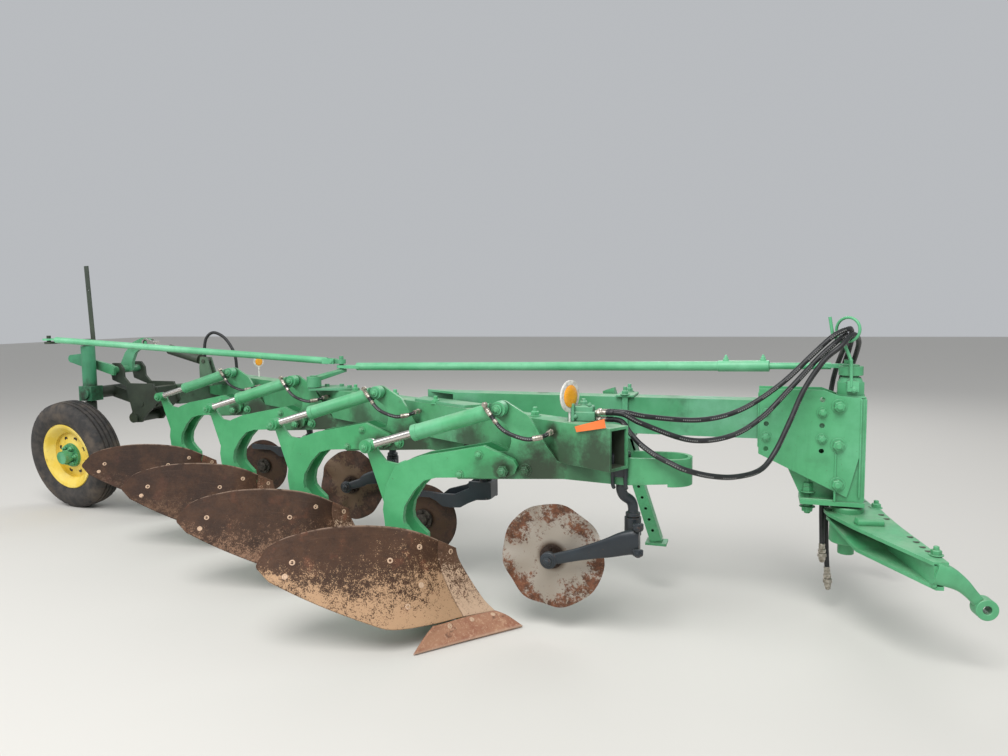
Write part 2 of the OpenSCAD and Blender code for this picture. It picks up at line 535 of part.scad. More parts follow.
module front_rod() color(green) {
    v = front_end - crank_tip;
    u = unit(v);
    difference() {
        union() {
            pin_z(crank_tip[0], crank_tip[1], 54, 1002, 1020);
            linear_slot(crank_tip + 40 * u, v, 32, 34, 1003, 1019);
            bar(crank_tip + 60 * u, crank_tip + 300 * u, 28);
            bar(crank_tip + 296 * u, front_end - 110 * u, 42);
            linear_slot(front_end - 55 * u, v, 55, 52, 942, 958);
        }
        pin_z(crank_tip[0], crank_tip[1], 24.2, 990, 1040);
        linear_slot(front_end + [-1.6, 1.2, 0], v, 0.5, 31, 930, 970);
    }
}
module idler_base() color(green) {
    translate([0, 0, tube_top + 0.1]) linear_extrude(height = 12)
        polygon([[-1266, 786], [-1240, 765], [-1205, 786], [-1030, 820], [-990, 850], [-1060, 905], [-1190, 975], [-1240, 960],
            [-1250, 836], [-1266, 832]]);
    pin_z(idler_at[0], idler_at[1], 40, 850, 915);
    for (p = [[-1205, 880], [-1130, 905], [-1050, 850]]) translate([p[0], p[1], 850]) cylinder(d = 28, h = 14, $fn = 6);
}
module idler_arm() color(green) difference() {
    union() {
        pin_z(idler_at[0], idler_at[1], 76, 854, 910);
        hull() {
            pin_z(idler_at[0], idler_at[1], 60, 886, 906);
            pin_z(idler_tip[0], idler_tip[1], 50, 920, 934);
        }
        pin_z(idler_tip[0], idler_tip[1], 56, 920, 936);
        pin_z(idler_tip[0], idler_tip[1], 24, 936, 1008);
    }
    pin_z(idler_at[0], idler_at[1], 40.1, 840, 916);
}
joint_a = [idler_tip[0] - 52, idler_tip[1], 978];
module rod_swivel() color(green) difference() {
    union() {
        pin_z(idler_tip[0], idler_tip[1], 48, 966, 990);
        box([joint_a[0] - 16, joint_a[1] - 10, 966], [idler_tip[0] - 14, joint_a[1] + 10, 990]);
    }
    pin_z(idler_tip[0], idler_tip[1], 24.1, 960, 1000);
    pin_y(joint_a[0], joint_a[2], 16.1, joint_a[1] - 20, joint_a[1] + 20);
}
module rear_rod() color(green) {
    v = eye_at - joint_a;
    u = unit(v);
    difference() {
        union() {
            bar(joint_a + 30 * u, eye_at - 60 * u, 38);
            for (s = [-1, 1]) plate_y(joint_a[1] + (s > 0 ? 11 : -23), 12) polygon([[joint_a[0] + 14, joint_a[2] - 14], [joint_a[0] + 14, joint_a[2] + 14], [joint_a[0] - 60, joint_a[2] + 18], [joint_a[0] - 60, joint_a[2] - 12]]);
            pin_y(joint_a[0], joint_a[2], 16, joint_a[1] - 28, joint_a[1] + 28);
        }
        box([joint_a[0] - 36, joint_a[1] - 11, 950], [joint_a[0] + 40, joint_a[1] + 11, 1004]);
    }
    pin_y(joint_a[0], joint_a[2], 16, joint_a[1] - 28, joint_a[1] + 28);
}
// flat eye welded to the tube's end; its bore is wide enough for the arc that the pin swings
module rear_eye() color(green) {
    v = eye_at - joint_a;
    u = unit(v);
    ring = eye_at + 2.75 * u + [0, 3, 0];
    difference() {
        union() {
            translate([ring[0], ring[1], 1094]) cylinder(d = rod_eye_bore + 28, h = 12);
            translate([eye_at[0], eye_at[1], 1094]) rotate([0, 0, atan2(v[1], v[0])]) translate([-70, -15, 0]) cube([50, 30, 12]);
        }
        translate([ring[0], ring[1], 1080]) cylinder(d = rod_eye_bore, h = 40);
        bar(joint_a, eye_at - 60 * u, 60);
    }
}

// Tail
module tail_beam() color(dark) difference() {
    union() {
        translate([0, 0, 634]) linear_extrude(height = 133)
            polygon([[-2640, 1760], [-2740, 1800], [-2845, 1500], [-2765, 1500]]);
        // lug for the base of the lift cylinder
        for (y = [1376, 1416]) plate_y(y, 12) polygon([[-2480, 900], [-2470, 965], [-2420, 965], [-2380, 840], [-2380, 780], [-2480, 780]]);
        box([-2480, 1376, 780], [-2380, 1640, 800]);
    }
    tube_solid();
    pin_y(cyl_base[0], cyl_base[1], 25.1, 1370, 1434);
}
cheek = [[-3160, 900], [-3130, 925], [-3075, 925], [-3045, 890], [-3040, 830], [-3000, 790], [-2800, 790], [-2757, 673],
    [-2851, 598], [-2910, 530], [-2990, 525], [-3005, 560], [-2985, 600], [-3030, 774], [-3140, 810]];
module tail_head() color(dark) difference() {
    union() {
        for (y = [1300, 1484]) plate_y(y, 16) polygon(cheek);
        pin_y(-2960, 560, 66, 1280, 1500);
        box([-2845, 1316, 640], [-2775, 1484, 767]);
    }
    for (p = [crank_a]) pin_y(p[0], p[1], 50.2, 1290, 1510);
    pin_y(arm_a[0], arm_a[1], 40.1, 1290, 1510);
}
module lift_arm() color(dark) {
    pin_y(arm_a[0], arm_a[1], 40, 1296, 1504);
    pin_y(arm_a[0], arm_a[1], 84, 1322, 1478);
    plate_y(1350, 80) polygon([[arm_a[0], arm_a[1] - 40], [arm_a[0], arm_a[1] + 40], [arm_b[0], arm_b[1] + 38], [arm_b[0], arm_b[1] - 38]]);
    difference() {
        pin_y(arm_b[0], arm_b[1], 80, 1240, 1440);
        pin_y(arm_b[0], arm_b[1], 50.1, 1239, 1344);
    }
}
module lift_crank() color(green) {
    difference() {
        pin_y(crank_a[0], crank_a[1], 50, 1250, 1504);
        pin_y(crank_a[0], crank_a[1], 10, 1240, 1250);
    }
    difference() {
        plate_y(1252, 22) {
            polygon([[crank_a[0] + 20, crank_a[1] - 34], [crank_a[0] + 34, crank_a[1] + 20], [crank_a[0], crank_a[1] + 38], [crank_b[0], crank_b[1] + 24], [crank_b[0], crank_b[1] - 24]]);
            translate(crank_b) circle(d = 48);
        }
        pin_y(crank_b[0], crank_b[1], 25.1, 1240, 1290);
    }
    difference() {
        plate_y(1388, 24) polygon([[crank_a[0] - 40, crank_a[1] - 30], [crank_a[0] - 50, crank_a[1] + 40], [-3110, 990], [-3040, 1060],
            [-2960, 1092], [-2900, 1088], [-2888, 1060], [-2905, 1036], [-2960, 1032], [-3020, 990], [-3050, 930], [crank_a[0] + 40, crank_a[1] - 10]]);
    }
    pin_y(cyl_tip[0], cyl_tip[1], 24, 1376, 1424);
}
module post_housing() color(green) {
    difference() {
        union() {
            pin_z(post_at[0], post_at[1], 86, 775, 1045);
            box([-3266, 1142, 684], [-3160, 1236, 780]);
            // lug for the upper link, behind the post
            plate_y(1216, 24) {
                polygon([[post_at[0], 1000], [crank_b[0], crank_b[1] + 26], [crank_b[0], crank_b[1] - 26], [post_at[0], 880]]);
                translate(crank_b) circle(d = 52);
            }
        }
        pin_z(post_at[0], post_at[1], 50.1, 683, 1046);
    }
    pin_y(arm_b[0], arm_b[1], 50, 1236, 1340);
    pin_y(arm_b[0], arm_b[1], 66, 1128, 1142);
    pin_y(crank_b[0], crank_b[1], 25, 1216, 1284);
}
wheel_turn = 4.9;
wheel_lean = 5.8;
wheel_mid = [-3207.6, 1042.3, 349.9];
module on_wheel() translate(wheel_mid) rotate([0, 0, -wheel_turn]) rotate([wheel_lean, 0, 0]) rotate([90, 0, 0]) children();
module spindle() color(dark) {
    pin_z(post_at[0], post_at[1], 50, 640, 1070);
    pin_z(post_at[0], post_at[1], 70, 340, 676);
    difference() {
        on_wheel() translate([0, 0, -190]) cylinder(d = 60, h = 130);
        on_wheel() translate([0, 0, -101]) cylinder(d = 120, h = 60);
    }
    on_wheel() translate([0, 0, -110]) cylinder(d = 44.8, h = 160);
    pin_z(post_at[0], post_at[1], 80, 1050, 1092);
    translate([0, 0, 1072]) linear_extrude(height = 14) {
        polygon([[post_at[0] - 40, post_at[1]], [eye_at[0] - 26, eye_at[1]], [eye_at[0] + 26, eye_at[1]], [post_at[0] + 40, post_at[1]]]);
        translate([eye_at[0], eye_at[1]]) circle(d = 52);
    }
    // marker blade
    translate([post_at[0] + 40, post_at[1] - 3, 1092]) rotate([0, -2.6, 0]) difference() {
        translate([-6, 0, -10]) cube([34, 6, 488]);
        translate([11, -1, 320]) rotate([-90, 0, 0]) cylinder(d = 10, h = 8);
    }
}
module eye_pin() color(dark) pin_z(eye_at[0], eye_at[1], rod_eye_bore - 18, 1086, 1124);
module wheel_rim() color(paint_yellow) on_wheel() difference() {
    union() {
        rotate_extrude() polygon([[190, -70], [208, -75], [212, -70], [200, -62], [186, -55], [160, -30], [160, 30], [186, 55], [200, 62],
            [212, 70], [208, 75], [190, 70], [176, 58], [150, 34], [150, 12], [60, 34], [60, 26], [150, 2], [150, -34], [176, -58]]);
        cylinder(d = 150, h = 44, center = false);
        translate([0, 0, -58]) cylinder(d = 96, h = 60);
        translate([0, 0, 44]) cylinder(d = 82, h = 62);
        for (i = [0:lug_nuts - 1]) rotate([0, 0, i * 360 / lug_nuts]) translate([56, 0, 44]) cylinder(d = 24, h = 14, $fn = 6);
    }
    translate([0, 0, -60]) cylinder(d = 45, h = 112);
}
module tyre() color("#26272a") on_wheel() rotate_extrude() translate([0, 0]) polygon(tyre_half());
// outline of the tyre: distance from the middle plane, and distance out from the bead, which stays
// at the rim while the rest follows the tyre's diameter
function tyre_half() = let (w = tyre_width / 2, f = (tyre_diameter / 2 - 190) / 160) [for (p = [
    [-54.4, -3], [-61.6, 10.7], [-69.7, 23.2], [-w + 8, 46], [-w + 1, 72], [-w, 94], [-w + 5, 116], [-w + 16, 134],
    [-w + 28, 148], [-w + 38, 155], [-46, 156], [-44, 148], [-38, 148], [-36, 158], [-20, 159], [-18, 149], [-12, 149],
    [-10, 160], [10, 160], [12, 149], [18, 149], [20, 159], [36, 158], [38, 148], [44, 148], [46, 156], [w - 38, 155],
    [w - 28, 148], [w - 16, 134], [w - 5, 116], [w, 94], [w - 1, 72], [w - 8, 46], [69.7, 23.2], [61.6, 10.7], [54.4, -3],
    [46, 6], [w - 20, 46], [w - 12, 94], [w - 30, 130], [40, 134], [0, 136], [-40, 134], [-w + 30, 130], [-w + 12, 94],
    [-w + 20, 46], [-46, 6]]) [190 + (p[1] < 24 ? p[1] : p[1] * f), p[0]]];

module lift_barrel() color(dark) {
    a = [cyl_base[0], 1402, cyl_base[1]];
    d = unit([cyl_tip[0] - cyl_base[0], 0, cyl_tip[1] - cyl_base[1]]);
    difference() {
        union() {
            bar(a + 48 * d, a + 300 * d, 66);
            plate_y(1390, 24) translate(cyl_base) rotate(atan2(d[2], d[0])) translate([0, -21]) square([56, 42]);
            pin_y(cyl_base[0], cyl_base[1], 54, 1390, 1414);
        }
        bar(a + 60 * d, a + 310 * d, 35);
    }
    pin_y(cyl_base[0], cyl_base[1], 25, 1370, 1434);
}
module lift_rod() color(steel) {
    a = [cyl_tip[0], 1400, cyl_tip[1]];
    d = unit([cyl_base[0] - cyl_tip[0], 0, cyl_base[1] - cyl_tip[1]]);
    difference() {
        union() {
            translate([0, 2, 0]) bar(a + 60 * d, a + 400 * d, 34.9);
            for (y = [1372, 1420]) plate_y(y, 12) {
                translate(cyl_tip) circle(d = 58);
                polygon([[cyl_tip[0], cyl_tip[1] + 27], [cyl_tip[0] + 70, cyl_tip[1] + 8], [cyl_tip[0] + 64, cyl_tip[1] - 42], [cyl_tip[0], cyl_tip[1] - 27]]);
            }
            plate_y(1372, 60) polygon([[cyl_tip[0] + 50, cyl_tip[1] + 14], [cyl_tip[0] + 70, cyl_tip[1] + 8], [cyl_tip[0] + 64, cyl_tip[1] - 42], [cyl_tip[0] + 46, cyl_tip[1] - 34]]);
        }
        pin_y(cyl_tip[0], cyl_tip[1] - 0.6, 37, 1360, 1440);
    }
}

// Assembly
module row() translate(shift) children();
row() main_tube();
row() draft_beam();
row() mast();
row() mast_cap();
row() bracket(1);  // bracket_1
row() bracket(2);  // bracket_2
row() bracket(3);  // bracket_3
row() bracket(4);  // bracket_4
row() standard(1);  // standard_1
row() standard(2);  // standard_2
row() standard(3);  // standard_3
row() standard(4);  // standard_4
row() moldboard(1);  // moldboard_1
row() moldboard(2);  // moldboard_2
row() moldboard(3);  // moldboard_3
row() moldboard(4);  // moldboard_4
row() share(1);  // share_1
row() share(2);  // share_2
row() share(3);  // share_3
row() share(4);  // share_4
row() reset_barrels();
row() reset_rods();
row() coulter_shanks();
row() coulter_arm(1);  // coulter_arm_1
row() coulter_arm(2);  // coulter_arm_2
row() coulter_arm(3);  // coulter_arm_3
row() coulter_arm(4);  // coulter_arm_4
row() coulter_disc(1);  // coulter_disc_1
row() coulter_disc(2);  // coulter_disc_2
row() coulter_disc(3);  // coulter_disc_3
row() coulter_disc(4);  // coulter_disc_4
row() jumper_hoses();
row() hose_fittings();
row() hose_a();
row() hose_b();
row() hose_c();
row() tail_hose();
row() hose_couplers();
row() valve_block();
row() stand_clamp();
row() parking_stand();
row() hitch_frame();
row() steer_shaft();
row() front_rod();
row() idler_base();
row() idler_arm();
row() rod_swivel();
row() rear_rod();
row() rear_eye();
row() tail_beam();
row() tail_head();
row() lift_arm();
row() lift_crank();
row() post_housing();
row() spindle();
row() eye_pin();
row() wheel_rim();
row() tyre();
row() lift_barrel();
row() lift_rod();
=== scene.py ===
import bpy
import bmesh
import numpy as np
from math import pi, sin, cos, radians
from mathutils import Matrix, Vector


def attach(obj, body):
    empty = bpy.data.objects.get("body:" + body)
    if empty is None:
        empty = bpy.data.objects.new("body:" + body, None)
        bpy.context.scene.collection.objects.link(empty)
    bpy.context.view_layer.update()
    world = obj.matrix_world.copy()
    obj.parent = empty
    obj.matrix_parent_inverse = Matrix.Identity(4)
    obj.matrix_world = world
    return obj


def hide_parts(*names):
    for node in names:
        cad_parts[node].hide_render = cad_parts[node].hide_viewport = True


# A plough with four bottoms, parked on its shares, its tail wheel and its stand.
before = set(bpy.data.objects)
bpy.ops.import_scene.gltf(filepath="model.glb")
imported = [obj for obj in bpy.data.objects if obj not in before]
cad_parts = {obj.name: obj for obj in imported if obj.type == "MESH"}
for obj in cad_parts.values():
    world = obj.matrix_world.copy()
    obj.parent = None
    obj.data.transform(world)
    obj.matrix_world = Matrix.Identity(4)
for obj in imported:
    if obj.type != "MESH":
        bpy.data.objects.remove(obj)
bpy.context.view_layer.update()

# part.scad is drawn in millimetres in a working frame: x runs forward and y away from the photographer
originShift = np.array([0.897937, -0.702464, 0.0])  # where that frame's origin lies, in metres
bottomStep = np.array([-730.0, 406.4, 0.0])  # from one bottom to the next
near = (0, -1, 0)  # towards the photographer
upright = (0, 0, 1)


def at(points):
    # points of the working frame, in mm, become metres in the model's frame
    return np.asarray(points, float) / 1000.0 + originShift


def unit(v):
    # a vector divided by its own length
    v = np.asarray(v, float)
    return v / np.linalg.norm(v)


def linear(colour):
    # a hex colour of the screen as the linear values that shaders take: c / 12.92 near black, and above it
    # (c + 0.055) / 1.055 to the power 2.4
    c = np.array([int(colour[i:i + 2], 16) for i in (1, 3, 5)]) / 255.0
    c = np.where(c <= 0.04045, c / 12.92, ((c + 0.055) / 1.055) ** 2.4)
    return (float(c[0]), float(c[1]), float(c[2]), 1.0)


# camera as the photograph's: metres, degrees, and a lens in mm on a 36 mm wide sensor
shot = {"eye": (1.89344, -3.30976, 1.2508), "yaw": 18.86, "pitch": 5.21, "roll": 0.68,
        "lens": 26.66, "sensor": 36.0}
yaw, pitch, roll = (radians(shot[k]) for k in ("yaw", "pitch", "roll"))
ahead = np.array([-sin(yaw) * cos(pitch), cos(yaw) * cos(pitch), -sin(pitch)])
level = np.array([cos(yaw), sin(yaw), 0.0])
down = np.cross(ahead, level)
right = cos(roll) * level + sin(roll) * down
below = cos(roll) * down - sin(roll) * level
lens = bpy.data.cameras.new("camera")
lens.lens = shot["lens"]
lens.sensor_width = shot["sensor"]
lens.sensor_fit = "HORIZONTAL"
lens.clip_end = 60
camera = bpy.data.objects.new("camera", lens)
bpy.context.collection.objects.link(camera)
rows = [[right[i], -below[i], -ahead[i], shot["eye"][i]] for i in range(3)]
camera.matrix_world = Matrix(rows + [[0, 0, 0, 1]])
bpy.context.scene.camera = camera


# settings that many nodes share
smooth = {"interpolation_type": "SMOOTHSTEP"}
blend = {"data_type": "RGBA", "out": 2}
times, plus, minus, larger, timesPlus = (
    {"operation": kind} for kind in ("MULTIPLY", "ADD", "SUBTRACT", "MAXIMUM", "MULTIPLY_ADD"))


def add(tree, kind, inputs=None, out=0, **settings):
    # adds a node and gives its wanted output; inputs are hex colours, values or other nodes' outputs
    node = tree.nodes.new("ShaderNode" + kind)
    for name, value in settings.items():
        setattr(node, name, value)
    for name, value in (inputs or {}).items():
        socket = node.inputs[name]
        if isinstance(value, bpy.types.NodeSocket):
            tree.links.new(value, socket)
        else:
            socket.default_value = linear(value) if isinstance(value, str) else value
    return node.outputs[out]


def start(name):
    # a new material: its tree, its shader and the object's coordinates
    material = bpy.data.materials.new(name)
    material.use_nodes = True
    tree = material.node_tree
    shader = next(n for n in tree.nodes if n.type == "BSDF_PRINCIPLED")
    return material, tree, shader, add(tree, "TexCoord", out="Object")


def grain(tree, where, table):
    # the noise patterns of a finish, each from its width in mm, its detail and its roughness
    return {name: add(tree, "TexNoise",
                      {"Vector": where, "Scale": 1000 / width, "Detail": detail, "Roughness": rough})
            for name, (width, detail, rough) in table.items()}


def edgeMask(tree, radius=0.004):
    # 1 where an edge is sharper than the rounding radius, 0 on flats
    rounded = add(tree, "Bevel", {"Radius": radius}, samples=4)
    plain = add(tree, "NewGeometry", out="Normal")
    same = add(tree, "VectorMath", {0: rounded, 1: plain}, out="Value", operation="DOT_PRODUCT")
    return add(tree, "MapRange", {0: same, 1: 0.995, 2: 0.86}, **smooth)


def finish(tree, shader, colour, rough, height, strength=0.3, distance=0.002, bevel=0.0016):
    # colour, roughness and fine relief go to the shader; bevel softens the edges' shading, in metres
    tree.links.new(colour, shader.inputs["Base Color"])
    if isinstance(rough, bpy.types.NodeSocket):
        tree.links.new(rough, shader.inputs["Roughness"])
    else:
        shader.inputs["Roughness"].default_value = rough
    soft = add(tree, "Bevel", {"Radius": bevel}, samples=4)
    bump = add(tree, "Bump", {"Strength": strength, "Distance": distance, "Height": height, "Normal": soft})
    tree.links.new(bump, shader.inputs["Normal"])


# Machinery enamel, brushed and sprayed on steel: faded by sun in wide areas, powdered with dust on top,
# grimy in clouds, darkened with painted shade in its corners, and chipped to rust along its edges. Widths in
# mm.
enamelGrain = {
    "fade": (385, 4, 0.55), "tone": (77, 6, 0.65), "powder": (111, 5, 0.7), "cloud": (182, 7, 0.62),
    "stain": (45.5, 5, 0.7), "speck": (5.88, 2, 0.5), "chip": (26.3, 5, 0.7), "shine": (143, 5, 0.55),
    "peel": (3.125, 2, 0.55), "wave": (41.7, 3, 0.55)}


def enamel(name, base, faded, deep, dust="#9fb79c", dusty=0.4, grimy=0.25, worn=0.5, gloss=0.36, stains=(),
           chipped="#4a3426"):
    # stains are oily patches: a point in metres, a reach in metres and a strength
    material, tree, shader, where = start(name)
    marks = grain(tree, where, enamelGrain)
    fade = add(tree, "MapRange", {0: marks["fade"], 1: 0.36, 2: 0.66}, **smooth)
    colour = add(tree, "Mix", {0: fade, 6: base, 7: faded}, **blend)
    tone = add(tree, "MapRange", {0: marks["tone"], 1: 0.3, 2: 0.75, 4: 0.45}, **smooth)
    colour = add(tree, "Mix", {0: tone, 6: colour, 7: deep}, **blend)
    # faint upright runs, 22 mm wide and 330 mm long
    drawn = add(tree, "VectorMath", {0: where, 1: (46.0, 46.0, 3.0)}, **times)
    runs = add(tree, "TexNoise", {"Vector": drawn, "Scale": 1.0, "Detail": 3.0, "Roughness": 0.6})
    runs = add(tree, "MapRange", {0: runs, 1: 0.58, 2: 0.82, 4: 0.16}, **smooth)
    colour = add(tree, "Mix", {0: runs, 6: colour, 7: deep}, blend_type="MULTIPLY", **blend)
    # dust lies where the surface looks up
    facingUp = add(tree, "SeparateXYZ", {0: add(tree, "NewGeometry", out="Normal")}, out=2)
    top = add(tree, "MapRange", {0: facingUp, 1: 0.35, 2: 0.95}, **smooth)
    powder = add(tree, "MapRange", {0: marks["powder"], 1: 0.3, 2: 0.7, 4: dusty}, **smooth)
    powder = add(tree, "Math", {0: top, 1: powder}, **times)
    colour = add(tree, "Mix", {0: powder, 6: colour, 7: dust}, **blend)
    # grime in clouds, and painted shade within 60 mm of corners, from ambient occlusion
    grimeAndShade = add(tree, "MapRange", {0: marks["cloud"], 1: 0.56, 2: 0.74, 4: grimy}, **smooth)
    occlusionShade = add(tree, "AmbientOcclusion", {"Distance": 0.06}, out="AO", samples=4)
    loose = add(tree, "Math", {0: marks["cloud"], 1: 0.5}, **minus)
    raggedShade = add(tree, "Math", {0: loose, 1: 0.5, 2: occlusionShade}, **timesPlus)
    corner = add(tree, "MapRange", {0: raggedShade, 1: 0.72, 2: 0.28, 4: 0.62}, **smooth)
    grimeAndShade = add(tree, "Math", {0: grimeAndShade, 1: corner}, **larger)
    # the clouds' grime and the corners' painted shade darken the colour together
    colour = add(tree, "Mix", {0: grimeAndShade, 6: colour, 7: "#2b2f22"}, **blend)
    # oily patches with ragged rims
    oily = 0.0
    loose = add(tree, "Math", {0: marks["stain"], 1: 0.5}, **minus)
    for point, reach, strength in stains:
        gap = add(tree, "VectorMath", {0: where, 1: tuple(map(float, point))}, out="Value",
                  operation="DISTANCE")
        gap = add(tree, "Math", {0: loose, 1: reach * 1.1, 2: gap}, **timesPlus)
        patch = add(tree, "MapRange", {0: gap, 1: reach, 2: reach * 0.25, 4: strength}, **smooth)
        oily = add(tree, "Math", {0: oily, 1: patch}, **larger)
    colour = add(tree, "Mix", {0: oily, 6: colour, 7: "#231f15"}, **blend)
    # fine specks, edges scratched down to rust, and a painted highlight along every edge
    specks = add(tree, "MapRange", {0: marks["speck"], 1: 0.70, 2: 0.76, 4: 0.55}, **smooth)
    colour = add(tree, "Mix", {0: specks, 6: colour, 7: chipped}, **blend)
    edge = edgeMask(tree)
    bare = add(tree, "MapRange", {0: marks["chip"], 1: 0.50, 2: 0.62, 4: worn}, **smooth)
    bare = add(tree, "Math", {0: edge, 1: bare}, **times)
    colour = add(tree, "Mix", {0: bare, 6: colour, 7: chipped}, **blend)
    # painted highlight: the faded colour screened over the edges
    light = add(tree, "Math", {0: edge, 1: 0.28}, **times)
    colour = add(tree, "Mix", {0: light, 6: colour, 7: faded}, blend_type="SCREEN", **blend)
    rough = add(tree, "MapRange", {0: marks["shine"], 1: 0.3, 2: 0.7, 3: gloss, 4: gloss + 0.16}, **smooth)
    rough = add(tree, "Math", {0: powder, 1: 0.4, 2: rough}, **timesPlus)
    height = add(tree, "Math", {0: marks["peel"], 1: 0.35}, **times)
    height = add(tree, "Math", {0: bare, 1: -0.8, 2: height}, **timesPlus)
    height = add(tree, "Math", {0: marks["wave"], 1: 0.5, 2: height}, **timesPlus)
    finish(tree, shader, colour, rough, height, 0.22)
    shader.inputs["Coat Weight"].default_value = 0.12
    shader.inputs["Coat Roughness"].default_value = 0.28
    return material


def bottomPoint(n, x, y, z):
    # a point of bottom n, given at the first bottom in mm
    return at(np.array([x, y, z]) + (n - 1) * bottomStep)


greenPaint = enamel("green_enamel", "#4fa56f", "#66b687", "#3f8f5e")
rodPaint = enamel("green_enamel_rods", "#5bb180", "#79c599", "#4a9c6c", grimy=0.12, dusty=0.3)
roofPaint = enamel("green_enamel_dusty", "#4c9a6a", "#6bab88", "#3a7f55", dusty=0.65, grimy=0.55)
hitchPaint = enamel("green_enamel_hitch", "#4b9d6a", "#5eae7d", "#3b8457", grimy=0.35, worn=0.8)
standPaint, holdPaint = {}, {}
for n in range(1, 5):
    # each standard is oily round its pivot and soiled near the ground, each bracket round its bolts
    standPaint[n] = enamel(
        "green_enamel_standard_%d" % n, "#429e64", "#52ab73", "#358a56", dusty=0.25, grimy=0.16, worn=0.45,
        stains=((bottomPoint(n, 98, 0, 648), 0.075, 0.85), (bottomPoint(n, 30, 0, 622), 0.10, 0.5),
                (bottomPoint(n, -380, 0, 180), 0.16, 0.35)))
    holdPaint[n] = enamel(
        "green_enamel_bracket_%d" % n, "#489a66", "#5aaa77", "#357a4f", dusty=0.5, grimy=0.62, worn=0.7,
        stains=((bottomPoint(n, 240, 29, 650), 0.16, 0.9), (bottomPoint(n, 380, 29, 650), 0.12, 0.6),
                (bottomPoint(n, 98, 20, 660), 0.09, 0.8), (bottomPoint(n, 85, 20, 884), 0.05, 0.5)))
# the main tube is grimy where clamps and hoses sit
tubePaint = enamel(
    "green_enamel_tube", "#489763", "#5faa7c", "#34754b", dusty=0.75, grimy=0.6, worn=0.7,
    stains=((at([460, -70, 720]), 0.17, 0.85), (at([500, -70, 690]), 0.12, 0.8),
            (at([330, 30, 700]), 0.14, 0.8), (at([276, 48, 800]), 0.05, 0.9),
            (at([-150, 290, 690]), 0.15, 0.8), (at([-900, 700, 700]), 0.16, 0.7)))
# tail castings: the green is long lost under oil and soil
castPaint = enamel("oily_casting", "#2f3a2f", "#3d4838", "#1e221b", dust="#5c5e4c", dusty=0.5, grimy=0.75,
                   worn=0.6, gloss=0.5, chipped="#2b241b")
beamPaint = enamel("tail_beam_grime", "#46604c", "#56745b", "#2e3b2e", dust="#7d8468", dusty=0.5, grimy=0.8,
                   worn=0.5, gloss=0.5, chipped="#2b241b")
postPaint = enamel("green_enamel_post", "#3c8862", "#4c9872", "#307350", grimy=0.35, worn=0.6,
                   stains=((at([-3213, 1190, 725]), 0.12, 0.97), (at([-3205, 1290, 732]), 0.10, 0.95)))
blackPaint = enamel("blue_black_paint", "#1d242a", "#283138", "#13171a",
                    dust="#4a4e4c", dusty=0.25, grimy=0.3,
                    worn=0.7, gloss=0.34, chipped="#6b4630")

# Moldboard steel, hot rolled and scoured by soil: dark brown rust above and at the tail, sandy bare speckle
# rising from the share's seam, reddish patches and scratches that follow the soil. Widths in mm.
boardGrain = {
    "cloud": (143, 7, 0.65), "dark": (41.7, 6, 0.7), "patch": (90.9, 5, 0.6), "fine": (4.76, 3, 0.75),
    "coarse": (19.2, 4, 0.7), "rim": (33.3, 4, 0.55)}


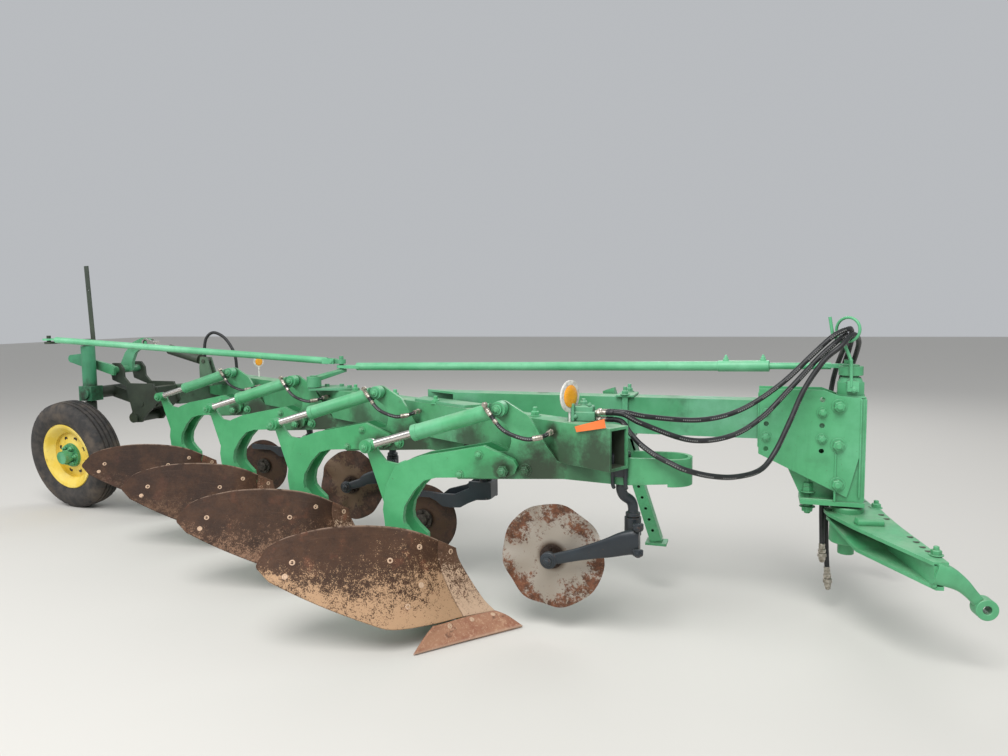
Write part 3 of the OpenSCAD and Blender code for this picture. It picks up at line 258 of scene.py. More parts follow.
def scoured(name, top, sand, red, seam, sandy):
    # u and v run over the plate itself; sandy says how far up the speckle reaches
    material, tree, shader, where = start(name)
    marks = grain(tree, where, boardGrain)
    surface = add(tree, "TexCoord", out="UV")
    u, v = (add(tree, "SeparateXYZ", {0: surface}, out=k) for k in (0, 1))
    share = add(tree, "MapRange", {0: marks["cloud"], 1: 0.35, 2: 0.68}, **smooth)
    colour = add(tree, "Mix", {0: share, 6: top, 7: "#4d3424"}, **blend)
    share = add(tree, "MapRange", {0: marks["dark"], 1: 0.45, 2: 0.72, 4: 0.6}, **smooth)
    colour = add(tree, "Mix", {0: share, 6: colour, 7: "#2e1f17"}, **blend)
    share = add(tree, "MapRange", {0: marks["patch"], 1: 0.56, 2: 0.70, 4: 0.6}, **smooth)
    colour = add(tree, "Mix", {0: share, 6: colour, 7: red}, **blend)
    # the sandy speckle is strongest low down and near the shin
    low = add(tree, "MapRange", {0: v, 1: 0.95, 2: 0.02, 4: 0.62}, **smooth)
    front = add(tree, "MapRange", {0: u, 1: 0.85, 2: 0.1, 4: 0.22}, **smooth)
    reach = add(tree, "Math", {0: low, 1: front}, **plus)
    loose = add(tree, "Math", {0: marks["cloud"], 1: 0.5}, **minus)
    reach = add(tree, "Math", {0: loose, 1: 0.9, 2: reach}, **timesPlus)
    sown = add(tree, "Math", {0: marks["fine"], 1: 0.6}, **times)
    sown = add(tree, "Math", {0: marks["coarse"], 1: 0.4, 2: sown}, **timesPlus)
    sown = add(tree, "Math", {0: reach, 1: sandy, 2: sown}, **timesPlus)
    speckle = add(tree, "MapRange", {0: sown, 1: 0.655, 2: 0.745, 4: 0.88}, **smooth)
    colour = add(tree, "Mix", {0: speckle, 6: colour, 7: sand}, **blend)
    # scratches run along u: 5 to the plate's length, 240 to its height
    drawn = add(tree, "VectorMath", {0: surface, 1: (5.0, 240.0, 0.0)}, **times)
    lines = add(tree, "TexNoise", {"Vector": drawn, "Scale": 1.0, "Detail": 3.0})
    scratch = add(tree, "MapRange", {0: lines, 1: 0.60, 2: 0.72, 4: 0.22}, **smooth)
    colour = add(tree, "Mix", {0: scratch, 6: colour, 7: "#8a6a54"}, **blend)
    # the top edge is polished in places
    rim = add(tree, "MapRange", {0: v, 1: seam, 2: 1.0}, **smooth)
    broken = add(tree, "MapRange", {0: marks["rim"], 1: 0.35, 2: 0.55, 4: 0.7}, **smooth)
    rim = add(tree, "Math", {0: rim, 1: broken}, **times)
    colour = add(tree, "Mix", {0: rim, 6: colour, 7: "#a08876"}, **blend)
    rough = add(tree, "MapRange", {0: marks["fine"], 1: 0.3, 2: 0.7, 3: 0.5, 4: 0.75}, **smooth)
    shader.inputs["Specular IOR Level"].default_value = 0.22
    metal = add(tree, "Math", {0: speckle, 1: 0.25}, **times)
    tree.links.new(metal, shader.inputs["Metallic"])
    height = add(tree, "Math", {0: marks["fine"], 1: 0.5}, **times)
    height = add(tree, "Math", {0: marks["coarse"], 1: 0.8, 2: height}, **timesPlus)
    finish(tree, shader, colour, rough, height, 0.45, 0.0022, 0.001)
    return material


# the front board is the sandiest, and each one behind it is darker
boardTones = {1: ("#402b1e", "#be9a78", "#6e4330", 0.37), 2: ("#38261b", "#90705a", "#5a3827", 0.30),
              3: ("#34231a", "#755b48", "#523326", 0.27), 4: ("#32231b", "#6b5547", "#4d3127", 0.25)}
boardSteel = {n: scoured("scoured_moldboard_%d" % n, top, sand, red, 0.965, sandy)
              for n, (top, sand, red, sandy) in boardTones.items()}
shinSteel = scoured("scoured_shin", "#6a4f3f", "#d0b297", "#8a5a43", 0.99, 0.34)

# Share: forged steel under reddish rust and pale dust, with a bright worn cutting edge. Widths in mm.
shareGrain = {"broad": (83.3, 6, 0.65), "pale": (14.3, 5, 0.75), "dark": (33.3, 5, 0.6),
              "fine": (6.25, 4, 0.7)}


def forged():
    # v runs from the cutting edge to the seam under the moldboard
    material, tree, shader, where = start("share_rust")
    marks = grain(tree, where, shareGrain)
    v = add(tree, "SeparateXYZ", {0: add(tree, "TexCoord", out="UV")}, out=1)
    broad = add(tree, "MapRange", {0: marks["broad"], 1: 0.35, 2: 0.65}, **smooth)
    colour = add(tree, "Mix", {0: broad, 6: "#8c5b45", 7: "#a2775c"}, **blend)
    pale = add(tree, "MapRange", {0: marks["pale"], 1: 0.50, 2: 0.66, 4: 0.7}, **smooth)
    colour = add(tree, "Mix", {0: pale, 6: colour, 7: "#c09a7e"}, **blend)
    dark = add(tree, "MapRange", {0: marks["dark"], 1: 0.58, 2: 0.70, 4: 0.8}, **smooth)
    colour = add(tree, "Mix", {0: dark, 6: colour, 7: "#5c3a2b"}, **blend)
    edge = add(tree, "MapRange", {0: v, 1: 0.16, 2: 0.0, 4: 0.6}, **smooth)
    colour = add(tree, "Mix", {0: edge, 6: colour, 7: "#b79a86"}, **blend)
    rough = add(tree, "MapRange", {0: marks["fine"], 1: 0.3, 2: 0.7, 3: 0.62, 4: 0.82}, **smooth)
    finish(tree, shader, colour, rough, marks["fine"], 0.5, 0.002, 0.001)
    return material


# Coulter disc: rolled steel, rusty in blotches and scoured silver where the soil polishes it. Widths in mm.
discGrain = {"broad": (33.3, 6, 0.7), "pale": (7.7, 3, 0.7), "cloud": (125, 6, 0.75), "fine": (10.5, 4, 0.8)}


def rolledDisc(name, middle, silver, bright, rusts):
    # v is the share of the disc's radius; bright moves the line between rust and bare steel
    material, tree, shader, where = start(name)
    marks = grain(tree, where, discGrain)
    radius = add(tree, "SeparateXYZ", {0: add(tree, "TexCoord", out="UV")}, out=1)
    broad = add(tree, "MapRange", {0: marks["broad"], 1: 0.35, 2: 0.68}, **smooth)
    rust = add(tree, "Mix", {0: broad, 6: rusts[0], 7: rusts[1]}, **blend)
    pale = add(tree, "MapRange", {0: marks["pale"], 1: 0.55, 2: 0.70, 4: 0.5}, **smooth)
    rust = add(tree, "Mix", {0: pale, 6: rust, 7: rusts[2]}, **blend)
    worn = add(tree, "Math", {0: marks["cloud"], 1: 0.7}, **times)
    worn = add(tree, "Math", {0: marks["fine"], 1: 0.3, 2: worn}, **timesPlus)
    inner = add(tree, "MapRange", {0: radius, 1: 0.95, 2: 0.45, 4: 0.10}, **smooth)
    worn = add(tree, "Math", {0: worn, 1: inner}, **plus)
    bare = add(tree, "MapRange", {0: worn, 1: 0.505 - bright, 2: 0.575 - bright}, **smooth)
    colour = add(tree, "Mix", {0: bare, 6: rust, 7: silver}, **blend)
    flange = add(tree, "MapRange", {0: radius, 1: 0.34, 2: 0.20}, **smooth)
    colour = add(tree, "Mix", {0: flange, 6: colour, 7: middle}, **blend)
    metal = add(tree, "Math", {0: bare, 1: 0.55}, **times)
    tree.links.new(metal, shader.inputs["Metallic"])
    rough = add(tree, "Math", {0: bare, 1: -0.3, 2: 0.75}, **timesPlus)
    finish(tree, shader, colour, rough, marks["fine"], 0.35, 0.0015, 0.0008)
    return material


def dullSteel(name, dark, light, metal, rough, width=16.7):
    # bare, zinc-plated or lacquered steel with dull blotches, width mm across
    material, tree, shader, where = start(name)
    marks = grain(tree, where, {"blotch": (width, 5, 0.65), "fine": (width / 4, 3, 0.55)})
    blotch = add(tree, "MapRange", {0: marks["blotch"], 1: 0.35, 2: 0.68}, **smooth)
    colour = add(tree, "Mix", {0: blotch, 6: light, 7: dark}, **blend)
    shader.inputs["Metallic"].default_value = metal
    wear = add(tree, "MapRange", {0: marks["blotch"], 1: 0.3, 2: 0.7, 3: rough, 4: rough + 0.2}, **smooth)
    finish(tree, shader, colour, wear, marks["fine"], 0.15, 0.001, 0.0008)
    return material


def chromed():
    # hard chrome, ground and plated: bright, with thin brown weather marks along the rod
    material, tree, shader, where = start("chrome_rod")
    drawn = add(tree, "VectorMath", {0: where, 1: (30.0, 120.0, 120.0)}, **times)
    marks = add(tree, "TexNoise", {"Vector": drawn, "Scale": 1.0, "Detail": 4.0, "Roughness": 0.7})
    marks = add(tree, "MapRange", {0: marks, 1: 0.56, 2: 0.70, 4: 0.75}, **smooth)
    colour = add(tree, "Mix", {0: marks, 6: "#c9c6c0", 7: "#6b5647"}, **blend)
    # within 40 mm of its pin the rod's eye is painted with the standard
    painted = 0.0
    for n in range(1, 5):
        pin = tuple(map(float, bottomPoint(n, -472, -15, 718)))
        gap = add(tree, "VectorMath", {0: where, 1: pin}, out="Value", operation="DISTANCE")
        eye = add(tree, "MapRange", {0: gap, 1: 0.042, 2: 0.038}, **smooth)
        painted = add(tree, "Math", {0: painted, 1: eye}, **larger)
    colour = add(tree, "Mix", {0: painted, 6: colour, 7: "#4a9b68"}, **blend)
    shine = add(tree, "Math", {0: marks, 1: -0.6, 2: 0.9}, **timesPlus)
    bare = add(tree, "Math", {0: 1.0, 1: painted}, **minus)
    shine = add(tree, "Math", {0: shine, 1: bare}, **times)
    tree.links.new(shine, shader.inputs["Metallic"])
    rough = add(tree, "Math", {0: painted, 1: 0.25, 2: 0.2}, **timesPlus)
    rough = add(tree, "Math", {0: marks, 1: 0.5, 2: rough}, **timesPlus)
    fine = add(tree, "TexNoise", {"Vector": where, "Scale": 1000 / 5, "Detail": 2.0, "Roughness": 0.55})
    finish(tree, shader, colour, rough, fine, 0.08, 0.0005, 0.0008)
    return material


def hoseCover():
    # extruded rubber hose cover: matt black, dusty, with a broken pale line of print along one side
    material, tree, shader, where = start("hose_rubber")
    marks = grain(tree, where, {"dust": (29.4, 5, 0.7), "cloth": (2.38, 2, 0.55)})
    surface = add(tree, "TexCoord", out="UV")
    along, around = (add(tree, "SeparateXYZ", {0: surface}, out=k) for k in (0, 1))
    dust = add(tree, "MapRange", {0: marks["dust"], 1: 0.35, 2: 0.7, 4: 0.8}, **smooth)
    colour = add(tree, "Mix", {0: dust, 6: "#151618", 7: "#2c2d2e"}, **blend)
    aside = add(tree, "Math", {0: around, 1: 0.32}, **minus)
    aside = add(tree, "Math", {0: aside}, operation="ABSOLUTE")
    mark = add(tree, "MapRange", {0: aside, 1: 0.05, 2: 0.03}, **smooth)
    # nine groups to the metre, and strokes 8 mm apart in them
    for pitch, low, high, strength in ((9.0, 0.35, 0.37, 1.0), (120.0, 0.35, 0.45, 0.32)):
        turn = add(tree, "Math", {0: along, 1: pitch}, **times)
        turn = add(tree, "Math", {0: turn}, operation="FRACT")
        strokes = add(tree, "MapRange", {0: turn, 1: low, 2: high, 4: strength}, **smooth)
        mark = add(tree, "Math", {0: mark, 1: strokes}, **times)
    colour = add(tree, "Mix", {0: mark, 6: colour, 7: "#c4c4c0"}, **blend)
    finish(tree, shader, colour, 0.48, marks["cloth"], 0.25, 0.001, 0.0005)
    return material


def tyreRubber():
    # moulded tyre rubber: weathered to dark grey, with brown dust in wide patches
    material, tree, shader, where = start("tyre_rubber")
    marks = grain(tree, where, {"grey": (50, 6, 0.7), "dust": (167, 5, 0.6), "fine": (4.17, 4, 0.55)})
    grey = add(tree, "MapRange", {0: marks["grey"], 1: 0.35, 2: 0.7}, **smooth)
    colour = add(tree, "Mix", {0: grey, 6: "#2b2a2a", 7: "#45403c"}, **blend)
    dust = add(tree, "MapRange", {0: marks["dust"], 1: 0.48, 2: 0.68, 4: 0.55}, **smooth)
    colour = add(tree, "Mix", {0: dust, 6: colour, 7: "#6a5d50"}, **blend)
    finish(tree, shader, colour, 0.78, marks["fine"], 0.4, 0.001, 0.001)
    return material


# the tail wheel leans and turns a little, as it stands in the photograph; mm and degrees
wheel = {"middle": np.array([-3207.6, 1042.3, 349.9]), "lean": 5.8, "turn": 4.9, "greenRadius": 78.5}
lean, turn = radians(wheel["lean"]), radians(wheel["turn"])
wheelAxis = unit([-cos(lean) * sin(turn), -cos(lean) * cos(turn), -sin(lean)])


def rimEnamel():
    # pressed steel rim in yellow enamel, dusty and rusty at its edges, round a green hub
    material, tree, shader, where = start("rim_enamel")
    marks = grain(tree, where, {"yellow": (111, 4, 0.55), "green": (71.4, 4, 0.55), "dust": (38.5, 6, 0.7),
                                "rust": (20, 4, 0.55), "fine": (5, 3, 0.55)})
    # distance from the axle: the square root of the whole distance squared less the share along the axle
    centre = tuple(map(float, at(wheel["middle"])))
    gap = add(tree, "VectorMath", {0: where, 1: centre}, operation="SUBTRACT")
    out = add(tree, "VectorMath", {0: gap, 1: tuple(map(float, wheelAxis))}, out="Value",
              operation="DOT_PRODUCT")
    whole = add(tree, "VectorMath", {0: gap, 1: gap}, out="Value", operation="DOT_PRODUCT")
    radius = add(tree, "Math", {0: out, 1: out}, **times)
    radius = add(tree, "Math", {0: whole, 1: radius}, **minus)
    radius = add(tree, "Math", {0: radius}, operation="SQRT")
    edge = wheel["greenRadius"] / 1000
    hub = add(tree, "MapRange", {0: radius, 1: edge + 0.002, 2: edge - 0.002}, **smooth)
    share = add(tree, "MapRange", {0: marks["yellow"], 1: 0.35, 2: 0.7}, **smooth)
    yellow = add(tree, "Mix", {0: share, 6: "#e0bf3d", 7: "#ead069"}, **blend)
    share = add(tree, "MapRange", {0: marks["green"], 1: 0.35, 2: 0.7}, **smooth)
    green = add(tree, "Mix", {0: share, 6: "#3f8a58", 7: "#5ba578"}, **blend)
    colour = add(tree, "Mix", {0: hub, 6: yellow, 7: green}, **blend)
    share = add(tree, "MapRange", {0: marks["dust"], 1: 0.55, 2: 0.72, 4: 0.65}, **smooth)
    colour = add(tree, "Mix", {0: share, 6: colour, 7: "#8a6a3a"}, **blend)
    share = add(tree, "MapRange", {0: marks["rust"], 1: 0.48, 2: 0.62, 4: 0.8}, **smooth)
    share = add(tree, "Math", {0: edgeMask(tree), 1: share}, **times)
    colour = add(tree, "Mix", {0: share, 6: colour, 7: "#5a3c28"}, **blend)
    finish(tree, shader, colour, 0.42, marks["fine"], 0.2)
    return material


def amberLens():
    # moulded acrylic lens: clear amber over small cells that throw light back; the cells' lighter middles are
    # a painted reflection
    material, tree, shader, where = start("amber_lens")
    cells = add(tree, "TexVoronoi", {"Vector": where, "Scale": 190.0}, feature="DISTANCE_TO_EDGE")
    share = add(tree, "MapRange", {0: cells, 1: 0.02, 2: 0.16}, **smooth)
    # lighter amber in the cells' middles: painted reflection
    colour = add(tree, "Mix", {0: share, 6: "#e58a12", 7: "#ffb61e"}, **blend)
    finish(tree, shader, colour, 0.12, cells, 0.5, 0.001, 0.0003)
    shader.inputs["Coat Weight"].default_value = 0.6
    return material


def matt(name, colour, rough):
    # an even, dull surface
    material, tree, shader, where = start(name)
    shader.inputs["Base Color"].default_value = linear(colour)
    shader.inputs["Roughness"].default_value = rough
    return material


sharesRust = forged()
wavySteel = rolledDisc("wavy_disc_steel", "#5a4a3c", "#a89f93", 0.012, ("#4a2f20", "#7a4b32", "#a9835f"))
brownSteel = rolledDisc("wavy_disc_brown", "#3a2c22", "#6b5745", -0.02, ("#33231a", "#523628", "#6f543f"))
plainDiscSteel = rolledDisc("plain_disc_rust", "#33261e", "#4c392b", -0.03, ("#2c1d14", "#452c1e", "#5e4430"))
zinc = dullSteel("zinc_fitting", "#7f7769", "#bdb6aa", 0.75, 0.32)
boltSteel = dullSteel("dark_bolt", "#2b2723", "#4a443c", 0.4, 0.5)
whiteRing = dullSteel("white_ring", "#b9b6ae", "#e4e2dc", 0.0, 0.4)
chrome = chromed()
rubber = hoseCover()
tread = tyreRubber()
rim = rimEnamel()
amber = amberLens()
card = matt("orange_card", "#ee7a3c", 0.7)
print("materials", len(bpy.data.materials))


def dress(node, material, angle=32.0):
    # a solid of the part's source keeps its shape: its loose triangles are joined, and split at sharp edges
    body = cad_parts[node]
    mesh = body.data
    mesh.materials.clear()
    mesh.materials.append(material)
    mesh.polygons.foreach_set("use_smooth", np.ones(len(mesh.polygons), bool))
    weld = body.modifiers.new("weld", "WELD")
    weld.merge_threshold = 0.00002
    split = body.modifiers.new("split", "EDGE_SPLIT")
    split.split_angle = radians(angle)


finishes = {
    tubePaint: ["main_tube"],
    roofPaint: ["draft_beam", "stand_clamp", "idler_base", "idler_arm", "rod_swivel", "lift_crank",
                "valve_block"],
    greenPaint: ["mast", "mast_cap", "reset_barrels"],
    hitchPaint: ["parking_stand", "hitch_frame", "steer_shaft"],
    rodPaint: ["front_rod", "rear_rod", "rear_eye"],
    beamPaint: ["tail_beam"],
    castPaint: ["tail_head", "lift_arm", "spindle", "eye_pin", "lift_barrel"],
    postPaint: ["post_housing"],
    blackPaint: ["coulter_shanks"] + ["coulter_arm_%d" % n for n in range(1, 5)],
    chrome: ["reset_rods", "lift_rod"],
    rim: ["wheel_rim"],
    tread: ["tyre"],
    zinc: ["hose_fittings", "hose_couplers"],
    rubber: ["jumper_hoses", "hose_a", "hose_b", "hose_c", "tail_hose"],
    sharesRust: ["share_%d" % n for n in range(1, 5)],
    wavySteel: ["coulter_disc_1", "coulter_disc_3"],
    plainDiscSteel: ["coulter_disc_2", "coulter_disc_4"]}
for material, nodes in finishes.items():
    for node in nodes:
        dress(node, material)
for n in range(1, 5):
    dress("standard_%d" % n, standPaint[n])
    dress("bracket_%d" % n, holdPaint[n])
    dress("moldboard_%d" % n, boardSteel[n])
print("solids dressed", len(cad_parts))


def gridFaces(rows, columns, wrapRows=False, wrapColumns=True):
    # four-cornered faces between neighbours of a grid; a wrapped direction joins its end to its start
    j = np.arange(rows if wrapRows else rows - 1)[:, None]
    i = np.arange(columns if wrapColumns else columns - 1)
    after, above = (i + 1) % columns, (j + 1) % rows
    low, high = j * columns, above * columns
    quads = np.stack([low + i, low + after, high + after, high + i], -1)
    return quads.reshape(-1, 4).tolist()


def endFaces(rows, sides):
    # the two flat ends of a turned or swept shape: its last ring, and its first one backwards
    ring = np.arange(sides)
    return [((rows - 1) * sides + ring).tolist(), ring[::-1].tolist()]


def slabFaces(rows, columns, wrapColumns=False):
    # two sheets of the same grid, one after the other, joined along their rims
    sheet = np.array(gridFaces(rows, columns, False, wrapColumns))
    ids = np.arange(rows * columns).reshape(rows, columns)
    if wrapColumns:
        rims = [ids[0], ids[-1][::-1]]
    else:
        rims = [np.concatenate([ids[0, :-1], ids[:-1, -1], ids[-1, :0:-1], ids[:0:-1, 0]])]
    k = ids.size
    walls = [np.stack([rim, rim + k, np.roll(rim, -1) + k, np.roll(rim, -1)], 1) for rim in rims]
    return np.concatenate([sheet, sheet[:, ::-1] + k] + walls).tolist()


def makePiece(name, shapes, material, body, replaces=(), smooth=True, angle=35.0, uv=None, closed=True):
    # one object from several (points in mm, faces) shapes, riding on a body of the model; the faces of
    # closed shapes are turned outwards
    counts = np.cumsum([0] + [len(points) for points, _ in shapes])
    points = at(np.concatenate([points for points, _ in shapes]))
    faces = [[i + count for i in face] for count, (_, part) in zip(counts, shapes) for face in part]
    mesh = bpy.data.meshes.new(name)
    mesh.from_pydata(points.tolist(), [], faces)
    if closed:
        shell = bmesh.new()
        shell.from_mesh(mesh)
        bmesh.ops.recalc_face_normals(shell, faces=shell.faces)
        shell.to_mesh(mesh)
        shell.free()
    mesh.update()
    if uv is not None:
        layer = mesh.uv_layers.new(name="surface")
        corner = np.empty(len(mesh.loops), np.int32)
        mesh.loops.foreach_get("vertex_index", corner)
        layer.data.foreach_set("uv", np.asarray(uv, np.float32)[corner].ravel())
    mesh.materials.append(material)
    mesh.polygons.foreach_set("use_smooth", np.full(len(mesh.polygons), smooth))
    if smooth:
        mesh.set_sharp_from_angle(angle=radians(angle))
    piece = bpy.data.objects.new(name, mesh)
    bpy.context.collection.objects.link(piece)
    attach(piece, body)
    if replaces:
        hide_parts(*replaces)
    return piece


def basis(axis):
    # two directions square to an axis and to each other, then the axis itself, each of length 1
    axis = unit(axis)
    side = unit(np.cross(axis, upright if abs(axis[2]) < 0.9 else (1.0, 0.0, 0.0)))
    return side, np.cross(axis, side), axis


def lathe(profile, centre, axis, sides=24, phase=0.0):
    # a turned shape: rows of radius and height in mm, each carried round the axis in a ring
    side, other, along = basis(axis)
    turned = np.arange(sides) * 2 * pi / sides + phase
    rows = np.asarray(profile, float)
    ring = np.cos(turned)[:, None] * side + np.sin(turned)[:, None] * other
    points = np.asarray(centre, float) + rows[:, 0, None, None] * ring + rows[:, 1, None, None] * along
    return points.reshape(-1, 3), gridFaces(len(rows), sides) + endFaces(len(rows), sides)


def nut(centre, axis, flats=30.0, height=15.0, washer=True, stud=8.0, phase=0.2):
    # washer, six-sided nut with a turned crown, and the bolt's end standing out of it
    base = 3.0 if washer else 0.0
    top = base + height
    corner = flats / 2 / cos(pi / 6)
    shapes = []
    if washer:
        rows = [(flats * 0.78, 0), (flats * 0.78, 3), (flats * 0.74, 3.6), (flats * 0.3, 3.6)]
        shapes.append(lathe(rows, centre, axis))
    rows = [(corner * 0.96, base), (corner, base + 1.2), (corner, top - 2.5), (corner * 0.84, top),
            (corner * 0.5, top + 0.2)]
    shapes.append(lathe(rows, centre, axis, 6, phase))
    if stud > 0:
        thread = flats * 0.31
        rows = [(thread, top - 1), (thread, top + stud - 1.5), (thread * 0.8, top + stud)]
        shapes.append(lathe(rows, centre, axis, 16))
    return shapes


def curve(points, t):
    # smooth curve through points: on each span a cubic of its four nearest points; t runs from 0 to 1
    p = np.asarray(points, float)
    n = len(p) - 1
    s = np.clip(t, 0, 1) * n
    i = np.minimum(s.astype(int), n - 1)
    f = (s - i)[..., None]
    a, b, c, d = p[np.maximum(i - 1, 0)], p[i], p[i + 1], p[np.minimum(i + 2, n)]
    bend = (2 * a - 5 * b + 4 * c - d) * f * f + (3 * b - a - 3 * c + d) * f ** 3
    return 0.5 * (2 * b + (c - a) * f + bend)


def spline(points, steps):
    # the same curve at even steps
    return curve(points, np.linspace(0, 1, steps + 1))


def sweep(path, radius, sides=12):
    # a round bar along a path: rings square to it, whose first direction is carried on without twist
    path = np.asarray(path, float)
    direction = np.gradient(path, axis=0)
    direction /= np.linalg.norm(direction, axis=1)[:, None]
    side = np.empty_like(path)
    carried = np.array([0.3, 0.5, 0.8])
    for i, heading in enumerate(direction):
        carried = unit(carried - (carried @ heading) * heading)
        side[i] = carried
    other = np.cross(direction, side)
    turned = np.arange(sides) * 2 * pi / sides
    wide = np.broadcast_to(np.asarray(radius, float), (len(path),))[:, None, None]
    ring = np.cos(turned)[:, None] * side[:, None] + np.sin(turned)[:, None] * other[:, None]
    points = (path[:, None] + wide * ring).reshape(-1, 3)
    run = np.concatenate([[0], np.cumsum(np.linalg.norm(np.diff(path, axis=0), axis=1))]) / 1000.0
    uv = np.stack([np.repeat(run, sides), np.tile(np.arange(sides) / sides, len(path))], 1)
    return points, gridFaces(len(path), sides) + endFaces(len(path), sides), uv


def bar(path, radius, sides=12):
    # the same without its surface coordinates
    return sweep(path, radius, sides)[:2]


def flattened(c, power):
    # a sine or cosine raised to a power with its sign kept, which makes a round section squarer
    return np.sign(c) * np.abs(c) ** power


def loft(stations, sides=32, power=2.6):
    # a forging or casting: rounded-square sections carried along a smooth line; a station is x, y and z
    # of its middle, its half height and half thickness, and the sections lie square to the line
    s = spline(stations, 48)
    turned = np.arange(sides) * 2 * pi / sides
    high, wide = flattened(np.cos(turned), 2 / power), flattened(np.sin(turned), 2 / power)
    way = np.gradient(s[:, :3], axis=0)
    way /= np.linalg.norm(way, axis=1)[:, None]
    up = np.cross(way, [0.0, 1.0, 0.0])
    up *= np.sign(up[:, 2:3])
    points = s[:, None, :3] + high[:, None] * (up * s[:, 3:4])[:, None]
    points[..., 1] += wide * s[:, 4:5]
    return points.reshape(-1, 3), gridFaces(len(s), sides) + endFaces(len(s), sides)


def block(low, high, chamfer=3.0):
    # a block whose eight corners are three points each: drawn in by the chamfer along all axes but one
    low, high = np.asarray(low, float), np.asarray(high, float)
    signs = np.array([(x, y, z) for x in (-1, 1) for y in (-1, 1) for z in (-1, 1)], float)
    reach = (high - low) / 2 - chamfer + chamfer * np.eye(3)
    points = (low + high) / 2 + (signs[:, None] * reach).reshape(-1, 3)
    ids = np.arange(24).reshape(2, 2, 2, 3)
    faces = ids.reshape(8, 3).tolist()
    for axis in range(3):
        turned = np.moveaxis(ids, axis, 0)
        others = [k for k in range(3) if k != axis]
        for s in (0, 1):
            (a, b), (c, d) = turned[s][..., axis]
            faces.append([a, b, d, c])
            for t in (0, 1):
                ends = turned[:, s, t]
                p, q = others
                faces.append([ends[0, p], ends[1, p], ends[1, q], ends[0, q]])
    return points, faces


def moved(shapes, offset):
    # the same shapes, each shifted by an offset in mm
    return [(points + offset, faces) for points, faces in shapes]


# Hoses take the routes of part.scad, in mm of the working frame; a coupler is its foot and its tip.
hoses = {
    "hose_a": {
        "route": ((500, 106, 872), (542, 108, 870), (621, 150, 851), (793, 250, 832), (934, 330, 863),
                  (1076, 390, 957), (1199, 428, 1080), (1262, 446, 1140), (1313, 486, 1163),
                  (1332, 545, 1158), (1342, 620, 1120), (1342, 700, 1072), (1330, 750, 1000),
                  (1318, 768, 900), (1308, 745, 760),
                  (1293, 700, 640), (1279, 655, 530), (1269, 635, 420), (1271, 632, 300), (1277, 632, 190)),
        "steps": 46, "end": "connector", "lay": "hanging",
        "coupler": ((1277.1, 632, 188.5), (1283, 632, 92))},
    "hose_b": {
        "route": ((500, 76, 872), (540, 78, 866), (604, 104, 830), (764, 180, 766), (902, 260, 774),
                  (1010, 330, 836), (1112, 388, 944), (1205, 416, 1052), (1262, 436, 1108), (1304, 492, 1140),
                  (1316, 545, 1133), (1318, 640, 1085), (1313, 700, 1050), (1298, 740, 985), (1284, 745, 900),
                  (1272, 715, 760), (1261, 665, 640), (1252, 620, 530), (1249, 600, 440), (1251, 597, 360),
                  (1253, 597, 296)),
        "steps": 42, "end": "connector", "lay": "hanging",
        "coupler": ((1253.1, 597, 294.5), (1255, 597, 216))},
    "hose_c": {
        "route": ((500, 90, 846), (532, 82, 838), (566, 48, 804), (605, 20, 772), (659, 4, 738),
                  (711, 2, 713), (762, 6, 691), (843, 60, 663), (925, 150, 645), (1009, 250, 654),
                  (1061, 310, 713),
                  (1113, 352, 827), (1160, 385, 940), (1226, 405, 1046), (1288, 421, 1104), (1324, 479, 1140),
                  (1350, 536, 1136), (1368, 615, 1104), (1368, 700, 1052), (1356, 762, 980), (1346, 780, 890),
                  (1338, 762, 790), (1332, 728, 700)),
        "steps": 42, "end": "connector", "lay": "hanging",
        "coupler": ((1331.8, 727.2, 697.5), (1328, 704, 624))},
    "tail_hose": {
        "route": ((-2530, 1500, 900), (-2538, 1500, 1000), (-2528, 1512, 1085), (-2480, 1530, 1122),
                  (-2400, 1545, 1080), (-2336, 1550, 980), (-2322, 1550, 872)),
        "steps": 18, "end": "object", "lay": "loose", "coupler": None}}
hoseWidth = 20.0
# rows of the coupler over its length: crimped sleeve, waist, knurled collar and ball-nosed plug
couplerLength = 96.0
couplerRows = np.array([
    (11.0, 0), (12.2, 2), (12.2, 10), (11.2, 12), (12.2, 14), (12.2, 26), (10.5, 28), (10.5, 48),
    (16.8, 50), (17.2, 53), (16.2, 56), (17.2, 59), (17.2, 66), (13.0, 69), (13.0, 82), (10.5, 85),
    (10.5, 92), (6.0, couplerLength)])
couplerHexagon = np.array([(15.0, 29), (15.6, 30), (15.6, 44), (15.0, 46)])


def coupler(foot, tip):
    # the rows are stretched to the length from foot to tip, but the first edge keeps its 2 mm
    foot, tip = np.array(foot, float), np.array(tip, float)
    stretch = [1, np.linalg.norm(tip - foot) / couplerLength]
    rows = couplerRows * stretch
    rows[1, 1] = couplerRows[1, 1]
    return [lathe(rows, foot, tip - foot), lathe(couplerHexagon * stretch, foot, tip - foot, 6, 0.3)]


plugs = {name: makePiece("coupler_" + name[-1], coupler(*hose["coupler"]), zinc, "frame",
                         ["hose_couplers"])
         for name, hose in hoses.items() if hose["coupler"]}
for name, hose in hoses.items():
    # the source's tube is drawn through these same ring centres; here each step is divided in six
    line = spline(hose["route"], hose["steps"] * 6)
    points, faces, uv = sweep(line, hoseWidth / 2 - 0.1, 16)
    piece = makePiece(name + "_tube", [(points, faces)], rubber, "frame", [name],
                      uv=uv, angle=60)
print("hoses", len(hoses))

